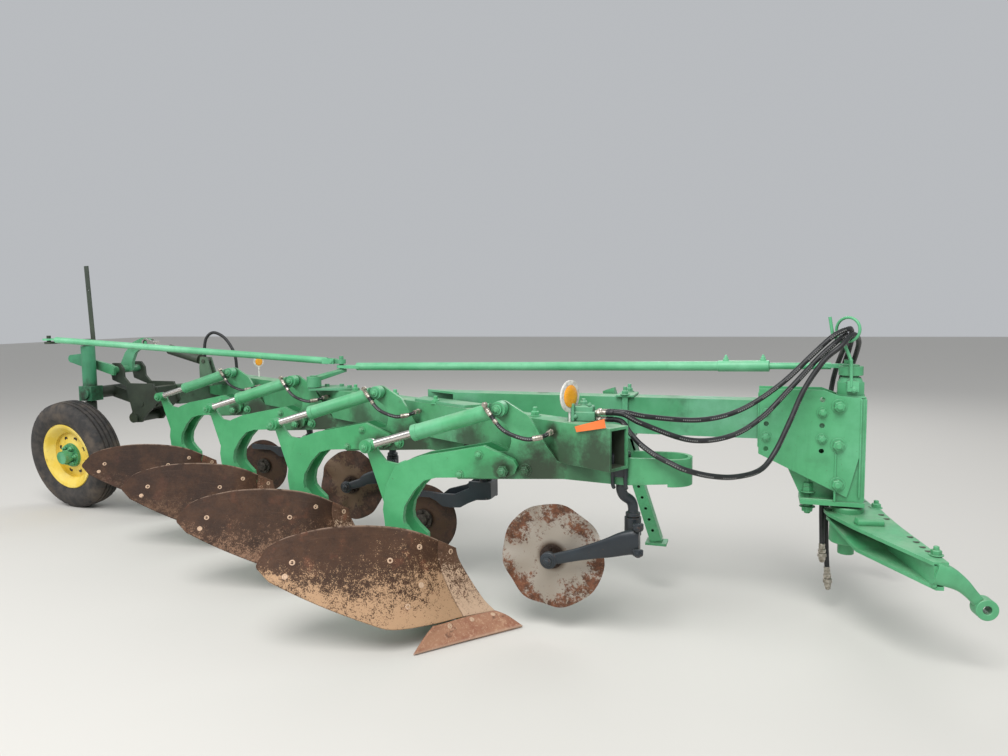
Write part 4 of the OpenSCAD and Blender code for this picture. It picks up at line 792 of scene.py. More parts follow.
# short hoses from each reset cylinder to the main tube, with their fittings
jumper = {"route": ((53, -47, 885), (84, -50, 845), (111, -53, 818), (147, -56, 799), (204, -56, 784),
                    (244, -50, 788), (268, -24, 795), (276, 11, 800)),
          "width": 16.0, "cylinderPort": (44, -36.4, 903), "tubePort": (276, 12, 800)}
routes = [np.array(jumper["route"], float) + n * bottomStep for n in range(4)]
swept = [sweep(spline(route, 84), jumper["width"] / 2, 14) for route in routes]
makePiece("jumper_hose_set", [part[:2] for part in swept], rubber, "frame", ["jumper_hoses"],
          uv=np.concatenate([part[2] for part in swept]), angle=60)
crimp = [(8.2, 0), (10.2, 1.5), (10.2, 12), (9.4, 13), (10.2, 14), (10.2, 30), (9.0, 31.5), (9.0, 38)]
band = [(8.3, -8), (9.2, -7), (9.2, 7), (8.3, 8)]
ferrule = [(9.0, 0), (9.6, 1), (9.6, 5), (9.0, 6.5), (9.6, 8), (9.6, 15), (9.0, 16.5), (9.6, 18),
           (9.6, 26), (8.6, 27)]
socket = [(9.2, -26), (9.8, -25), (9.8, -14), (9.0, -12), (9.8, -10), (9.8, 0), (9.0, 2), (8.0, 3),
          (8.0, 30)]
elbow = spline([[44, -50, 903], [44, -50, 900], [47, -49, 893], [52, -47, 886.3]], 12)
jumperEnds = [
    lathe(crimp, (228, -54.5, 786), (35, 14, 5), 20), lathe(band, (86, -50.3, 843), (29, -3.4, -34), 20),
    lathe([(9, 0), (9, 20), (7, 22)], jumper["cylinderPort"], near, 20),
    lathe([(11.5, 5), (12, 6), (12, 13), (11.5, 14)], jumper["cylinderPort"], near, 6, 0.2),
    bar(elbow, 7.4, 16), lathe(ferrule, (52, -47, 886), (31, -3, -40), 20),
    lathe(socket, jumper["tubePort"], (0, 1, 0), 20),
    lathe([(11.5, 5), (12.4, 6), (12.4, 15), (11.5, 16)], (276, 14, 800), (0, 1, 0), 6, 0.4)]
shapes = [shape for n in range(4) for shape in moved(jumperEnds, n * bottomStep)]
# the long hoses' ends at the valve: a silver nipple and nut, then a dark crimped sleeve
sleeves = []
nipple = [(9.0, 0), (9.0, 8), (8.4, 9), (8.4, 20), (9.4, 21), (9.9, 23), (9.9, 36), (9.4, 37.5)]
for y, z in ((106, 872), (76, 872), (90, 846)):
    shapes.append(lathe(nipple, (434, y, z), (1, 0, 0), 22))
    shapes.append(lathe([(11.4, 3), (12.2, 4), (12.2, 15), (11.4, 16)], (434, y, z), (1, 0, 0), 6, 0.1))
    sleeves.append(lathe([(9.2, 37), (10.6, 38), (10.6, 46), (10.0, 47), (10.6, 48), (10.6, 62), (10.0, 64)],
                         (434, y, z), (1, 0, 0), 22))
# stand pipe, nut and bracket of the tail hose, and its socket on the lift cylinder
tailPort = (-2530, 1500, 800.5)
shapes += [
    lathe([(12, 0), (13, 2), (13, 60), (11, 62), (11, 84), (12, 86), (12, 97.5)], tailPort, upright, 20),
    lathe([(15, 64), (16, 66), (16, 80), (15, 82)], tailPort, upright, 6),
    lathe([(13, 0.3), (14, 2), (14, 14), (11, 16), (11, 31)], (-2322, 1550, 838.6), upright, 20),
    (np.array([(x, y, z) for z in (788, 800) for y in (1470, 1530) for x in (-2545, -2480.2)]),
     slabFaces(2, 2))]
makePiece("fitting_set", shapes, zinc, "frame", ["hose_fittings"])
makePiece("hose_sleeves", sleeves, rubber, "frame")

# Moldboards, shins and shares: finer plates from the same edge curves as the source's, in mm of bottom 1.
shinY = 108.0
shinTop, shinLow = np.array([-150, shinY, 297]), np.array([15, shinY, 52])
seamEnd = np.array([-140.0, -150, 84])
nose, wing = np.array([131, shinY, 2]), np.array([-177.0, -238, 2])
boardEdges = {
    "foot": [shinLow, (shinLow + seamEnd) / 2 + [-6, 0, 2], seamEnd, [-243, -262, 96], [-330, -305, 128],
             [-450, -352, 182], [-560, -390, 236], [-657, -415, 285]],
    "top": [shinTop, [-194, 40, 345], [-257, -9, 385], [-345, -52, 410], [-452, -125, 428], [-559, -211, 432],
            [-655, -295, 415], [-705, -342, 388]],
    "shin": [shinLow, [-33, shinY, 94], [-97, shinY, 182], [-138, shinY, 250], shinTop],
    "tail": [[-657, -415, 285], [-694, -410, 312], [-720, -398, 335], [-705, -342, 388]]}
shareEdges = {
    "foot": [nose, (nose + wing) / 2, wing],
    "top": [shinLow + [4, 0, -5], (shinLow + seamEnd) / 2 + [-3, 0, -3], seamEnd + [4, 0, -5]],
    "shin": [nose, (nose + shinLow) / 2 + [0, 0, 6], shinLow + [4, 0, -5]],
    "tail": [wing, (wing + seamEnd) / 2, seamEnd + [4, 0, -5]]}
bottom = {"boardThick": 8.0, "shareThick": 11.0, "shinEnd": 0.1425, "boardStart": 0.147, "boltRadius": 11.0,
          "boardBolts": ((0.26, 0.82), (0.28, 0.42), (0.36, 0.24), (0.40, 0.66), (0.80, 0.62), (0.86, 0.36)),
          "shinBolts": ((0.06, 0.86), (0.06, 0.55), (0.06, 0.2)),
          "shareBolts": ((0.16, 0.74), (0.42, 0.74), (0.7, 0.74))}


def patch(edges, u, v):
    # blend of four edge curves: foot and top across v, shin and tail across u, less the corners' plane
    foot, top, shin, tail = (np.asarray(edges[k], float) for k in ("foot", "top", "shin", "tail"))
    u1, v1 = u[..., None], v[..., None]
    low = foot[0] + (foot[-1] - foot[0]) * u1
    high = top[0] + (top[-1] - top[0]) * u1
    across = curve(foot, u) * (1 - v1) + curve(top, u) * v1
    along = curve(shin, v) * (1 - u1) + curve(tail, v) * u1
    return across + along - low - (high - low) * v1


def facing(edges, u, v, e=0.02):
    # the patch's normal, from its slopes over a short way e each side
    du = patch(edges, np.minimum(u + e, 1), v) - patch(edges, np.maximum(u - e, 0), v)
    dv = patch(edges, u, np.minimum(v + e, 1)) - patch(edges, u, np.maximum(v - e, 0))
    n = np.cross(dv, du)
    return n / np.linalg.norm(n, axis=-1, keepdims=True)


def plate(edges, u0, u1, nu, nv, thick):
    # a curved plate over part of a patch, on a grid of u and v; its rim is worn 1.4 mm thinner
    u, v = np.meshgrid(np.linspace(u0, u1, nu + 1), np.linspace(0, 1, nv + 1))
    back = patch(edges, u, v)
    along = (u - u0) / (u1 - u0)
    steps = np.minimum.reduce([along * nu, (1 - along) * nu, v * nv, (1 - v) * nv])
    front = back + facing(edges, u, v) * (thick - 1.4 * np.clip(1 - steps, 0, 1))[..., None]
    uv = np.concatenate([np.stack([u.ravel(), v.ravel()], 1)] * 2)
    return np.concatenate([back.reshape(-1, 3), front.reshape(-1, 3)]), slabFaces(nv + 1, nu + 1), uv


def flushBolts(edges, places, thick, radius):
    # countersunk plough bolts: shallow dished heads, just proud of the plate
    u, v = np.array(places).T
    n = facing(edges, u, v)
    middle = patch(edges, u, v) + n * (thick - 1.5)
    rows = [(radius, 0), (radius, 1.9), (radius - 1.2, 2.5), (radius * 0.55, 2.2), (radius * 0.5, 1.5)]
    return [lathe(rows, *pair, 20) for pair in zip(middle, n)]


boardPlate = plate(boardEdges, bottom["boardStart"], 1.0, 84, 40, bottom["boardThick"])
shinPlate = plate(boardEdges, 0.0, bottom["shinEnd"], 12, 34, bottom["boardThick"])
sharePlate = plate(shareEdges, 0.0, 1.0, 40, 14, bottom["shareThick"])
sharePlate[0][:, 2] = np.maximum(sharePlate[0][:, 2], 0.4)  # the edge lies on the ground
boltHeads = flushBolts(boardEdges, bottom["boardBolts"] + bottom["shinBolts"], bottom["boardThick"],
                       bottom["boltRadius"])
boltHeads += flushBolts(shareEdges, bottom["shareBolts"], bottom["shareThick"], bottom["boltRadius"] - 1)
for n in range(1, 5):
    offset = (n - 1) * bottomStep
    for name, (points, faces, uv), material, slot, node in (
            ("moldboard_%d_steel", boardPlate, boardSteel[n], "rusty_steel", ["moldboard_%d" % n]),
            ("shin_%d", shinPlate, shinSteel, "rusty_steel", ()),
            ("share_%d_steel", sharePlate, sharesRust, "share_steel", ["share_%d" % n])):
        makePiece(name % n, [(points + offset, faces)], material, "frame", node, uv=uv)
    makePiece("plough_bolts_%d" % n, moved(boltHeads, offset), shinSteel, "frame")
print("bottoms 4")

# Coulters, in mm of their own bottom: hub, disc diameter, caster pin, and the wavy discs' steel.
coulters = {1: {"hub": (256, 112, 303), "disc": 406, "pin": 566, "steel": wavySteel},
            2: {"hub": (262, 92, 285), "disc": 330, "pin": 566, "steel": None},
            3: {"hub": (362, 112, 308), "disc": 380, "pin": 616, "steel": brownSteel},
            4: {"hub": (240, 92, 287), "disc": 330, "pin": 566, "steel": None}}
wave = {"count": 8, "depth": 10.0, "thick": 5.0, "around": 192, "out": 22}


def wavyDisc(diameter):
    # each ring's offset is the depth times the sine of eight times the angle; the waves start near a
    # quarter of the diameter and grow to the rim, which is ground thinner
    theta = np.arange(wave["around"]) * 2 * pi / wave["around"]
    radius = np.linspace(30, diameter / 2, wave["out"] + 1)
    grow = np.clip((radius / diameter - 0.2) / 0.3, 0, 1) ** 1.15
    thin = wave["thick"] / 2 * (1 - 0.55 * np.clip((radius / (diameter / 2) - 0.93) / 0.07, 0, 1))
    offset = wave["depth"] * grow[:, None] * np.sin(wave["count"] * theta)
    x, z = radius[:, None] * np.cos(theta), radius[:, None] * np.sin(theta)
    sheets = [np.stack([x, side * thin[:, None] - offset, z], -1).reshape(-1, 3) for side in (-1, 1)]
    turn, share = np.tile(theta / (2 * pi), len(radius)), np.repeat(radius / (diameter / 2), len(theta))
    uv = np.stack([turn, share], 1)
    return np.concatenate(sheets), slabFaces(len(radius), len(theta), True), np.tile(uv, (2, 1))


def plainDisc(diameter):
    # a flat disc, bevelled over its last 16 mm; v is the share of the radius
    radius = diameter / 2
    flat, sides = radius - 16, 128
    rows = np.array([(30, -2.4), (flat, -2.4), (radius, -0.7), (radius, 0.7), (flat, 2.4), (30, 2.4)])
    points, faces = lathe(rows, (0, 0, 0), (0, 1, 0), sides)
    turn, share = np.tile(np.arange(sides) / sides, len(rows)), np.repeat(rows[:, 0] / radius, sides)
    return points, faces, np.stack([turn, share], 1)


for k, coulter in coulters.items():
    centre = (k - 1) * bottomStep + np.array(coulter["hub"], float)
    wavy = coulter["steel"] is not None
    side = 1.0 if wavy else -1.0
    # flange, dust cap, and a ring of five bolts on each face
    shapes = [lathe([(46, -18), (46, -6), (43, -4), (43, 4), (46, 6), (46, 18)], centre, (0, 1, 0), 40),
              lathe([(28, 0), (28, 8), (26, 14), (18, 16.0)], centre + [0, 18 * side, 0], (0, side, 0), 32)]
    for i in range(5):
        t = radians(72 * i + 20)
        out = np.array([cos(t), 0, sin(t)])
        shapes += nut(centre + 35 * out - [0, 18 * side, 0], (0, -side, 0), 13, 6, False, 2.5, 0.3 * i)
        shapes += nut(centre + 36 * out + [0, 18 * side, 0], (0, side, 0), 13, 6, False, 3.0, 0.2 * i)
    node = "coulter_disc_%d" % k
    makePiece("coulter_hub_%d" % k, shapes, plainDiscSteel if wavy else boltSteel, node)
    points, faces, uv = (wavyDisc if wavy else plainDisc)(coulter["disc"])
    makePiece(("wavy_disc_%d" if wavy else "plain_disc_%d") % k, [(points + centre, faces)],
              coulter["steel"] or plainDiscSteel, node, [node], uv=uv,
              angle=70 if wavy else 20)
print("coulter discs", len(coulters))

# Tail wheel: half of the tyre's section from bead to crown, as distance from the middle and radius.
tyreHalf = np.array([
    (54.4, 187), (61.6, 200.8), (66, 207), (70.5, 214), (77, 226), (83.5, 240), (88, 254), (89.6, 270),
    (89.9, 284), (88, 298), (84.5, 310), (80, 319), (76, 327), (71, 334), (65, 340), (58, 344.5), (52, 346),
    (47.5, 346.6), (46.5, 339), (38.5, 339), (37.5, 348), (28, 348.8), (19, 349.2), (18, 341), (11, 341),
    (10, 349.8)])
lugs = {"around": 168, "every": 4, "depth": 4.5, "from": 50, "to": 72, "above": 330}
profile = np.concatenate([tyreHalf * [-1, 1], [(0, 350)], tyreHalf[::-1], [(40, 200), (-40, 200)]])
side, other, axle = basis(wheelAxis)
theta = np.arange(lugs["around"]) * 2 * pi / lugs["around"]
outward = np.cos(theta)[:, None] * side + np.sin(theta)[:, None] * other
# notches bite into the shoulders at every fourth step
shoulder = (np.abs(profile[:, 0]) > lugs["from"]) & (np.abs(profile[:, 0]) < lugs["to"])
shoulder &= profile[:, 1] > lugs["above"]
notched = np.arange(lugs["around"]) % lugs["every"] == 0
radius = profile[:, 1] - lugs["depth"] * (notched[:, None] & shoulder)
points = wheel["middle"] + radius[..., None] * outward[:, None] + profile[:, 0, None] * axle
makePiece("ribbed_tyre", [(points.reshape(-1, 3), gridFaces(*radius.shape, wrapRows=True))], tread, "wheel",
          ["tyre"], angle=38)
# six wheel nuts round the hub cap, the valve stem, and eight holes in the rim's face, drawn as dark discs of
# painted shade
face = wheel["middle"] + 44 * axle
shapes = []
for i in range(6):
    t = 2 * pi * i / 6
    shapes += nut(face + 56 * (cos(t) * side + sin(t) * other), axle, 24, 15, True, 9, t)
stem = unit(side + 0.4 * other)
shapes.append(lathe([(3.2, 0), (3.2, 26), (4.2, 27), (4.2, 38), (2.5, 39)],
                    wheel["middle"] + 150 * stem + 14 * axle, axle * 0.5 - stem, 10))
shapes.append(lathe([(41.5, 0), (42.5, 1), (42.5, 22), (40, 28), (30, 33), (12, 35)], face, axle, 40))
makePiece("wheel_hub_bits", shapes, hitchPaint, "wheel")
# the rim's holes: dark discs of painted shade
shapes = []
for i in range(8):
    t = 2 * pi * (i + 0.5) / 8
    spot = wheel["middle"] + 112 * (cos(t) * side + sin(t) * other) + 22 * axle
    shapes.append(lathe([(14, 0), (14, 1.2), (12.5, 1.4), (12, -2)], spot, axle))
makePiece("rim_hole_shades", shapes, boltSteel, "wheel")
print("tail wheel")

# Valve block on the main tube: body, cover, end plate, and the nuts and studs of its handles.
shapes = [block([330, 62, 838.4], [432, 118, 874], 3), block([338, 66, 870], [424, 114, 895], 4),
          block([346, 50, 838.4], [358, 62, 905], 2)]
shapes += nut([385, 90, 895], upright, 26, 14, True, 8) + nut([412, 74, 895], upright, 16, 8, False, 4)
shapes += nut([360, 62, 856], near, 16, 8, False, 3)
makePiece("valve_body", shapes, roofPaint, "frame", ["valve_block"], smooth=False)

# Amber reflectors in white rings on thin stems: middle in mm, and size against the front one.
reflectors = {"front": ((341, 52, 932), 1.0), "rear": ((-2070, 1450, 936), 0.62)}
reflectorLook = unit([0.93, -0.365, 0.0])
for name, (middle, size) in reflectors.items():
    middle = np.array(middle, float)
    ring = np.array([(57, -3), (59, -1), (59, 3), (56.5, 5), (42, 5), (40, 3)]) * size
    cells = np.array([(41, 3.2), (41, 7), (39, 8.5), (20, 9.4), (4, 9.6)]) * size
    stem = lathe([(4, 0), (4, 100)], middle - [0, 0, 100], upright, 10)
    makePiece("reflector_ring_" + name, [lathe(ring, middle, reflectorLook, 48), stem], whiteRing, "frame")
    makePiece("reflector_lens_" + name, [lathe(cells, middle, reflectorLook, 40)], amber, "frame")

# A bare card hangs over the main tube's near edge: its corners in mm, its waves along the face's normal.
tag = {"low": ((386, -20, 812), (505, -86, 842)), "high": ((380, -16, 832), (500, -82, 873)),
       "out": (-0.486, -0.874, 0), "gap": 3.5, "wave": 1.6, "thick": 0.6}
u, v = np.meshgrid(np.linspace(0, 1, 13), np.linspace(0, 1, 5))
low, high = (tag[k][0] + np.subtract(tag[k][1], tag[k][0]) * u[..., None] for k in ("low", "high"))
sheet = low + (high - low) * v[..., None]
sheet += np.array(tag["out"]) * (tag["gap"] + tag["wave"] * np.sin(u * 6.0 + v))[..., None]
front = sheet + np.array(tag["out"]) * tag["thick"]
points = np.concatenate([front.reshape(-1, 3), sheet.reshape(-1, 3)])
makePiece("card_tag", [(points, slabFaces(5, 13))], card, "frame")

# Nuts and bolt heads where the photograph shows them: x and z on the draft beam's and mast's faces, in mm.
beamFaces = {"near": 470, "far": 592}
heads = []
for x, z, flats, height, stud, phase in (
        (1291, 871, 36, 20, 8, 0.3), (1291, 721, 36, 20, 8, 0.3), (1291, 569, 36, 20, 8, 0.3),
        (1232, 844, 27, 14, 7, 0.1), (1232, 743, 27, 14, 7, 0.1), (1030, 844, 27, 14, 7, 0.1),
        (1030, 743, 27, 14, 7, 0.1)):
    heads += nut([x, beamFaces["near"], z], near, flats, height, True, stud, phase)
    heads += nut([x, beamFaces["far"], z], (0, 1, 0), flats, height, True, stud - 2)
heads += nut([1340, 471, 936], near, 24, 9, False, 5, 0.4)
# the swivel plate's double-nutted bolt, and the saddle bolts on top of the main tube
heads += nut([1190, 531, 520], upright, 38, 20, True, 0) + nut([1190, 531, 543], upright, 36, 16, False, 22)
heads += nut([1190, 531, 462], (0, 0, -1), 38, 18, True, 8)
for x, y in ((-363, 423), (176, 162), (-671, 633), (-991, 811)):
    heads += nut([x, y, 838.3], upright, 30, 16, True, 16)
makePiece("frame_nuts", heads, greenPaint, "frame", smooth=False)
# of each bottom: pivot, bracket, two on the standard's face, and the pins of the reset cylinder
heads = nut([98, -18, 650], near, 32, 8, False, 6, 0.2) + nut([175, 29, 651], near, 32, 15, True, 7, 0.1)
heads += nut([0, 0, 706], near, 22, 9, True, 4, 0.3) + nut([-79, 0, 625], near, 22, 9, True, 4, 0.5)
heads += nut([-472, -37.5, 718], near, 20, 4, False, 3) + nut([85, -35.5, 884], near, 24, 5, False, 4)
heads = [shape for n in range(4) for shape in moved(heads, n * bottomStep)]
makePiece("bottom_nuts", heads, holdPaint[1], "frame", smooth=False)

# Black U-bolts round the near leg of each nose, two to a coulter: the bent bar's centre line from x.
uBolt = {"x": (508, 554), "radius": 7.0,
         "route": ((0, 36, 606), (0, 20, 618), (-0.5, 17, 640), (-0.5, 17, 700), (0, 22, 724), (0, 40, 730),
                   (0, 72, 730), (0, 92, 722), (0, 103, 700), (0, 103, 640), (0, 100, 612))}
bolts = []
for k, coulter in coulters.items():
    offset = (k - 1) * bottomStep + [coulter["pin"] - coulters[1]["pin"], 0, 0]
    for x in uBolt["x"]:
        bolts.append(bar(spline(np.array(uBolt["route"], float) + [x, 0, 0] + offset, 50), uBolt["radius"]))
makePiece("u_bolts", bolts, blackPaint, "frame")
print("fasteners")

# Steering rod: a split sleeve where the thin rod slides in, with two lock bolts; mm from the crank's pin.
rod = {"crank": (1334.0, 662, 1011), "idler": (-1185.0, 1000, 950), "locks": (322, 474)}
along = unit(np.subtract(rod["idler"], rod["crank"]))
shapes = [lathe([(21.2, 296), (24, 298), (24, 505), (21.2, 508)], rod["crank"], along, 32)]
for far in rod["locks"]:
    spot = rod["crank"] + along * far
    shapes += [lathe([(13, 18), (13, 30), (11.5, 31)], spot, upright, 20)]
    shapes += nut(spot + [0, 0, 30], upright, 17, 10, False, 8)
makePiece("rod_sleeve", shapes, rodPaint, "front_rod")

# Dark lining of the main tube's front end, 900 mm deep, painting the shade inside the tube; it faces inwards.
tube = {"mouth": (516.0, -85, 762), "width": 101.6, "height": 152.4, "wall": 10.0, "from": 9, "to": 900}
heading = unit(bottomStep)
across = np.array([-heading[1], heading[0], 0]) * -1
sides, tops = (tube["wall"], tube["width"] - tube["wall"]), tube["height"] / 2 - tube["wall"]
corners = [across * a + [0, 0, b]
           for a, b in ((sides[0], -tops), (sides[1], -tops), (sides[1], tops), (sides[0], tops))]
points = [tube["mouth"] + heading * d + c for d in (tube["from"], tube["to"]) for c in corners]
faces = [[1, 5, 4, 0], [2, 6, 5, 1], [3, 7, 6, 2], [0, 4, 7, 3], [5, 6, 7, 4]]
makePiece("tube_shade_lining", [(np.array(points), faces)], castPaint, "frame",
          smooth=False, closed=False)

# Strap of the parking stand over the draft beam, and the leg's holder, which leans with the leg.
stand = {"origin": (458, 624, 650), "lean": -17.8}
shapes = [block([463, 466, 718], [486, 480, 886], 2), block([463, 582, 718], [486, 596, 886], 2),
          block([437, 462, 884.2], [512, 600, 894], 2), block([437, 462, 712], [512, 600, 731.8], 2),
          block([437, 596, 690], [500, 606, 880], 2)]
shapes += nut([474, 473, 894], upright, 26, 15, True, 16) + nut([474, 589, 894], upright, 26, 15, True, 16)
tilt = radians(stand["lean"])
leaned = np.array([[cos(tilt), 0, sin(tilt)], [0, 1, 0], [-sin(tilt), 0, cos(tilt)]])
for low, high in (((-40, -40, -60), (40, -28, 95)), ((-40, 28, -60), (40, 40, 95)),
                  ((-40, -40, -60), (-28, 40, 95)), ((28, -40, -60), (40, 40, 95))):
    points, faces = block(low, high, 2)
    shapes.append((points @ leaned.T + stand["origin"], faces))
makePiece("stand_strap", shapes, roofPaint, "frame", ["stand_clamp"], smooth=False)

# Coulter shanks: forged round bars with a smooth double bend, each clamped to its nose's leg.
shank = {"bend": ((531, 64, 728), (531, 64, 660), (531, 64, 622), (530, 68, 592), (538, 82, 566),
                  (558, 102, 545), (566, 110, 520), (566, 110, 486)),
         "radius": 19, "pin": (566, 110, 0)}
bars = []
for k, coulter in coulters.items():
    offset = (k - 1) * bottomStep + [coulter["pin"] - shank["pin"][0], 0, 0]
    bars += moved([
        bar(spline(shank["bend"], 60), shank["radius"], 24),
        lathe([(15, 408), (15, 490)], shank["pin"], upright),
        lathe([(20, 396), (22, 398), (22, 408)], shank["pin"], upright),
        lathe([(24, 484), (27, 486), (27, 498), (21, 502)], shank["pin"], upright, 28),
        block([498, 44, 640], [512, 86, 700], 2), block([550, 44, 640], [564, 86, 700], 2),
        block([498, 84, 640], [564, 96, 700], 3), block([500, 14, 648], [562, 28.8, 684], 3)], offset)
makePiece("shank_bars", bars, blackPaint, "frame", ["coulter_shanks"], angle=40)

# Arms of the wavy coulters: a casting that tapers from the yoke on the caster pin to the boss at the hub.
for k in (1, 3):
    offset = (k - 1) * bottomStep
    x, hub = coulters[k]["pin"], coulters[k]["hub"]
    lift = hub[2] - 303  # how far this hub stands above the first one
    reach = (x - hub[0]) / 310.0  # length against the first arm's
    stations = [(x + 30, 76, 398, 46, 22), (x + 6, 74, 397, 48, 22), (x - 30, 66, 389, 44, 16),
                (x - 80, 59, 372 + lift * 0.3, 37, 11), (x - 133, 57, 356 + lift * 0.5, 30, 9.5),
                (x - 200 * reach, 57, 335 + lift * 0.7, 24, 9), (x - 262 * reach, 57, 317 + lift, 22, 9),
                (x - 308 * reach, 57, 304 + lift, 20, 9)]
    boss = np.array([hub[0], 56.0, hub[2]])
    yoke = [(20, 484), (31, 481), (31, 415), (27, 412), (27, 350), (24, 344)]
    shapes = [loft(stations), lathe(yoke, (x, 110, 0), upright, 32),
              lathe([(31, -10), (32, -8), (32, 9), (30, 11), (20, 11.6)], boss, near, 32)]
    shapes += nut(boss + [0, -11, 0], near, 30, 12, True, 5, 0.3)
    # the yoke's split clamp with its cross bolts
    shapes += [block([x + 8, 46, 352], [x + 46, 66, 376], 4), block([x + 8, 46, 446], [x + 46, 72, 472], 4)]
    shapes += nut([x + 28, 46, 364], near, 20, 9, True, 4) + nut([x + 28, 46, 459], near, 20, 9, True, 4)
    node = "coulter_arm_%d" % k
    makePiece("cast_arm_%d" % k, moved(shapes, offset), blackPaint, node, [node], angle=42)
print("arms, shanks and strap")

# Hitch, in mm from the pivot, x forward and y to the left: a bent cross plate over a lower one, with a web
# between, a short bar on top and forged necks down to the link eyes. It stands turned as in the photograph.
hitch = {"pivot": (1334.0, 531.0), "turn": 10.5, "thick": 13.0, "eye": (320.0, 412.0, 243.0),
         "eyeRadius": 36.0, "boreRadius": 14.5, "eyeHalf": 24.0, "topMiddle": 458.0, "topSlope": 54 / 456,
         "lowStart": 430.0, "lowCorner": 355.0, "lowSlope": 0.117}
# the cross plate's outline: y, and x of its rear and front edges; the far side is cut back for the hoses
hitchOutline = np.array([
    (-448, 143, 190), (-420, 126, 186), (-165, -24, 143), (-110, -50, 137), (-40, -82, 130), (0, -86, 129),
    (45, -70, 130), (100, -12, 135), (165, 28, 143), (420, 126, 186), (448, 143, 190)], float)
# the neck's sections: x, y, z, half height and half thickness
neckStations = np.array([(150, 432, 366, 37, 26), (196, 428, 352, 35, 26), (240, 421, 325, 26, 25),
                         (276, 415, 290, 20, 20), (300, 412, 264, 19, 17)], float)
turned = radians(hitch["turn"])


def onHitch(p):
    # hitch places become places in the working frame: turned about the upright pivot
    p = np.asarray(p, float)
    x, y = p[..., 0], p[..., 1]
    return np.stack([hitch["pivot"][0] + x * cos(turned) - y * sin(turned),
                     hitch["pivot"][1] + x * sin(turned) + y * cos(turned), p[..., 2]], -1)


def topZ(y):
    # the upper plate falls evenly to both sides
    return hitch["topMiddle"] - hitch["topSlope"] * np.abs(y)


def lowZ(y):
    # the lower plate falls steeply from the pivot to 165 mm out, then runs beside the upper one
    y = np.abs(y)
    drop = (hitch["lowStart"] - hitch["lowCorner"]) * np.clip((y - 30) / 135, 0, 1)
    return hitch["lowStart"] - drop - hitch["lowSlope"] * np.clip(y - 165, 0, None)


y = np.unique(np.concatenate([np.linspace(-448, 448, 57), hitchOutline[:, 0]]))
rear, front = (np.interp(y, hitchOutline[:, 0], hitchOutline[:, k]) for k in (1, 2))


def bentPlate(rear, front, height):
    # a plate on a grid: across it x runs from the rear edge to the front one, along it the height is given
    share = np.linspace(0, 1, 9)
    x = rear[:, None] * (1 - share) + front[:, None] * share
    top = np.stack([x, np.repeat(y[:, None], 9, 1), np.repeat(height[:, None], 9, 1)], -1).reshape(-1, 3)
    return onHitch(np.concatenate([top, top - [0, 0, hitch["thick"]]])), slabFaces(len(y), 9)


# the web stands between the plates, 34 mm behind the front edge and 12 mm thick
web = np.concatenate([np.stack([front - 34, y, z], -1) for z in (topZ(y) - 6, lowZ(y) - 4)])
shapes = [bentPlate(rear, front, topZ(y)), bentPlate(rear + 10, front - 12, lowZ(y)),
          (onHitch(np.concatenate([web, web - [12, 0, 0]])), slabFaces(2, len(y))),
          lathe([(58, 330), (62, 334), (62, 470), (58, 475)], (*hitch["pivot"], 0), upright, 40)]
# section of an eye as radius and height along its bore
outer, bore, half = hitch["eyeRadius"], hitch["boreRadius"], hitch["eyeHalf"]
rows = np.array([(outer - 2, -half), (outer, 2 - half), (outer, half - 2), (outer - 2, half),
                 (bore + 1.5, half), (bore, half - 2), (bore, 2 - half), (bore + 1.5, -half)])
for side in (-1, 1):
    points, faces = loft(neckStations * [1, side, 1, 1, 1], 28, 4.0)
    shapes.append((onHitch(points), faces))
    eye = onHitch(np.multiply(hitch["eye"], (1, side, 1)))
    points = lathe(rows, eye, (-sin(turned), cos(turned), 0), 48)[0]
    shapes.append((points, gridFaces(len(rows), 48, wrapRows=True)))
# the short bar: rounded ends, and a flattened round section
u, t = np.meshgrid(np.linspace(0, 1, 13), np.arange(24) * 2 * pi / 24, indexing="ij")
half = 24 * np.clip(np.minimum(u, 1 - u) * 16, 0.0, 1.0) ** 0.4
points = np.stack([-15 + 108 * u, -140 + half * flattened(np.cos(t), 0.6),
                   topZ(-140) + 6 + half * 0.62 * flattened(np.sin(t), 0.6)], -1)
shapes.append((onHitch(points.reshape(-1, 3)), gridFaces(13, 24)))
makePiece("hitch_plates", shapes, hitchPaint, "hitch", ["hitch_frame"], angle=30)
# bolt holes drawn as dark cups of painted shade along the front edge, and two nuts
holes = ((112, -45), (118, -85), (142, -247), (147, -289), (152, -330), (158, -362), (118, 85),
         (142, 247), (147, 289), (152, 330))
shapes = [lathe([(11, 0), (11, 0.4), (9, 0.5)], onHitch((x, y, topZ(y) + 0.1)), upright, 20)
          for x, y in holes]
makePiece("hitch_hole_shades", shapes, castPaint, "hitch")
shapes = [shape for x, y in ((128, 60), (172, -392))
          for shape in nut(onHitch((x, y, topZ(y))), upright, 30, 16, True, 12)]
makePiece("hitch_studs", shapes, hitchPaint, "hitch", smooth=False)
print("hitch")


def weldBead(first, last, radius=4.0, ripple=0.9, pitch=5.0):
    # a bead along a joint: its radius ripples as the sine of the way along, a ripple every 5 mm
    first, last = np.asarray(first, float), np.asarray(last, float)
    length = np.linalg.norm(last - first)
    steps = max(int(length / 2.2), 6)
    s = np.linspace(0, 1, steps + 1)
    ends = 1.5 * np.clip(1 - np.minimum(s, 1 - s) * steps / 2, 0, 1)
    wide = radius + ripple * np.abs(np.sin(s * length / pitch * pi)) - ends
    return bar(first + (last - first) * s[:, None], wide, 8)


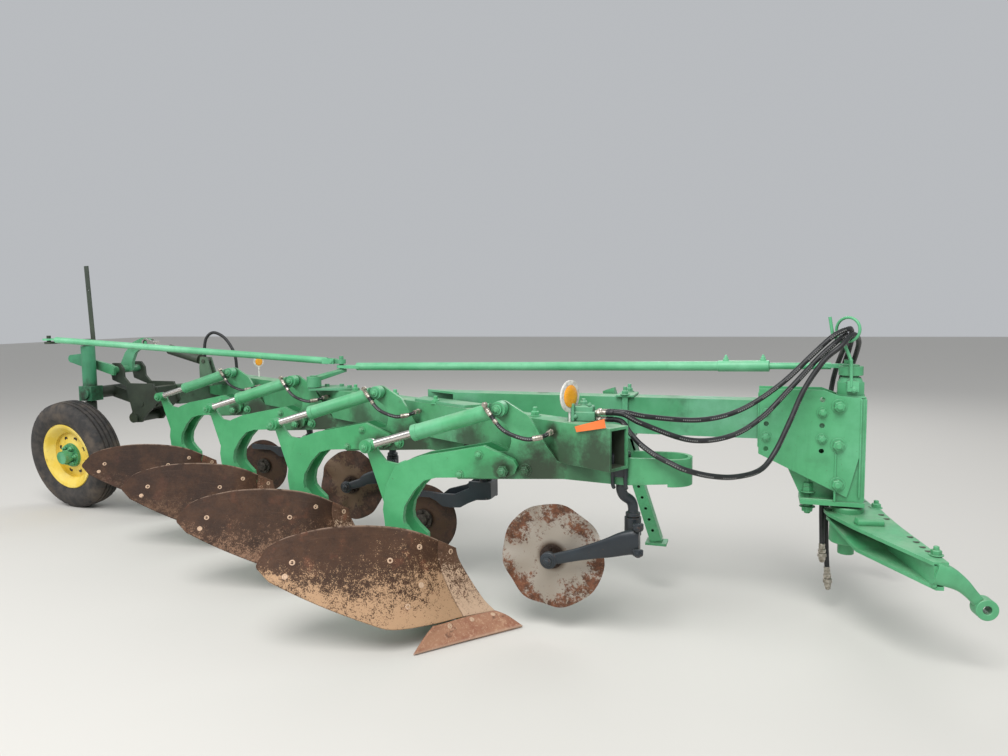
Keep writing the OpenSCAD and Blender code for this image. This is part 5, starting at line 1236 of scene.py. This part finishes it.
# from, to and radius in mm: on the mast and beam, then on each bottom
mastBeads = (((1283, 470, 500), (1283, 470, 690), 4.0), ((1368, 470, 520), (1368, 470, 900), 3.0),
             ((1160, 479, 500), (1283, 479, 500), 5), ((1283, 481, 905), (1384, 481, 905), 4),
             ((1385, 482, 505), (1385, 482, 900), 3.0), ((1001, 470.5, 700), (1001, 470.5, 920), 2.5))
bottomBeads = (((-413, 23, 463), (-350, 23, 430), 3.5), ((-353, 24, 645), (-317, 24, 661), 3.5),
               ((430, 44, 684), (445, 172, 684), 3))
beads = [weldBead(*bead) for bead in mastBeads]
shapes = [weldBead(*bead) for bead in bottomBeads]
beads += [shape for n in range(4) for shape in moved(shapes, n * bottomStep)]
makePiece("weld_beads", beads, greenPaint, "frame")
print("weld beads", len(beads))

# pale studio floor, an even sky and three soft lamps: place, aim, width in metres and power in watts
mesh = bpy.data.meshes.new("floor")
corners = [[x, y, -0.0005] for x, y in ((-30, -30), (30, -30), (30, 30), (-30, 30))]
mesh.from_pydata(corners, [], [[0, 1, 2, 3]])
mesh.materials.append(matt("pale_floor", "#cfccc6", 0.9))
floor = bpy.data.objects.new("floor", mesh)
bpy.context.collection.objects.link(floor)
world = bpy.data.worlds.new("studio")
bpy.context.scene.world = world
world.use_nodes = True
sky = world.node_tree.nodes["Background"]
sky.inputs["Color"].default_value = (0.93, 0.96, 1.0, 1.0)
sky.inputs["Strength"].default_value = 0.52
lamps = {"key": ((1.5, -5.0, 6.5), (0.0, 0.2, 0.4), 5.0, 540),
         "fill": ((-5.0, -3.5, 4.0), (-0.5, 0.2, 0.5), 4.0, 130),
         "rear": ((1.0, 6.0, 5.0), (0.0, 0.2, 0.5), 4.0, 120)}
for name, (place, aim, width, power) in lamps.items():
    light = bpy.data.lights.new(name, "AREA")
    light.shape = "DISK"
    light.size = width
    light.energy = power
    lamp = bpy.data.objects.new(name, light)
    bpy.context.collection.objects.link(lamp)
    lamp.location = place
    lamp.rotation_euler = (Vector(aim) - Vector(place)).to_track_quat("-Z", "Y").to_euler()
bpy.context.scene.view_settings.view_transform = "Standard"
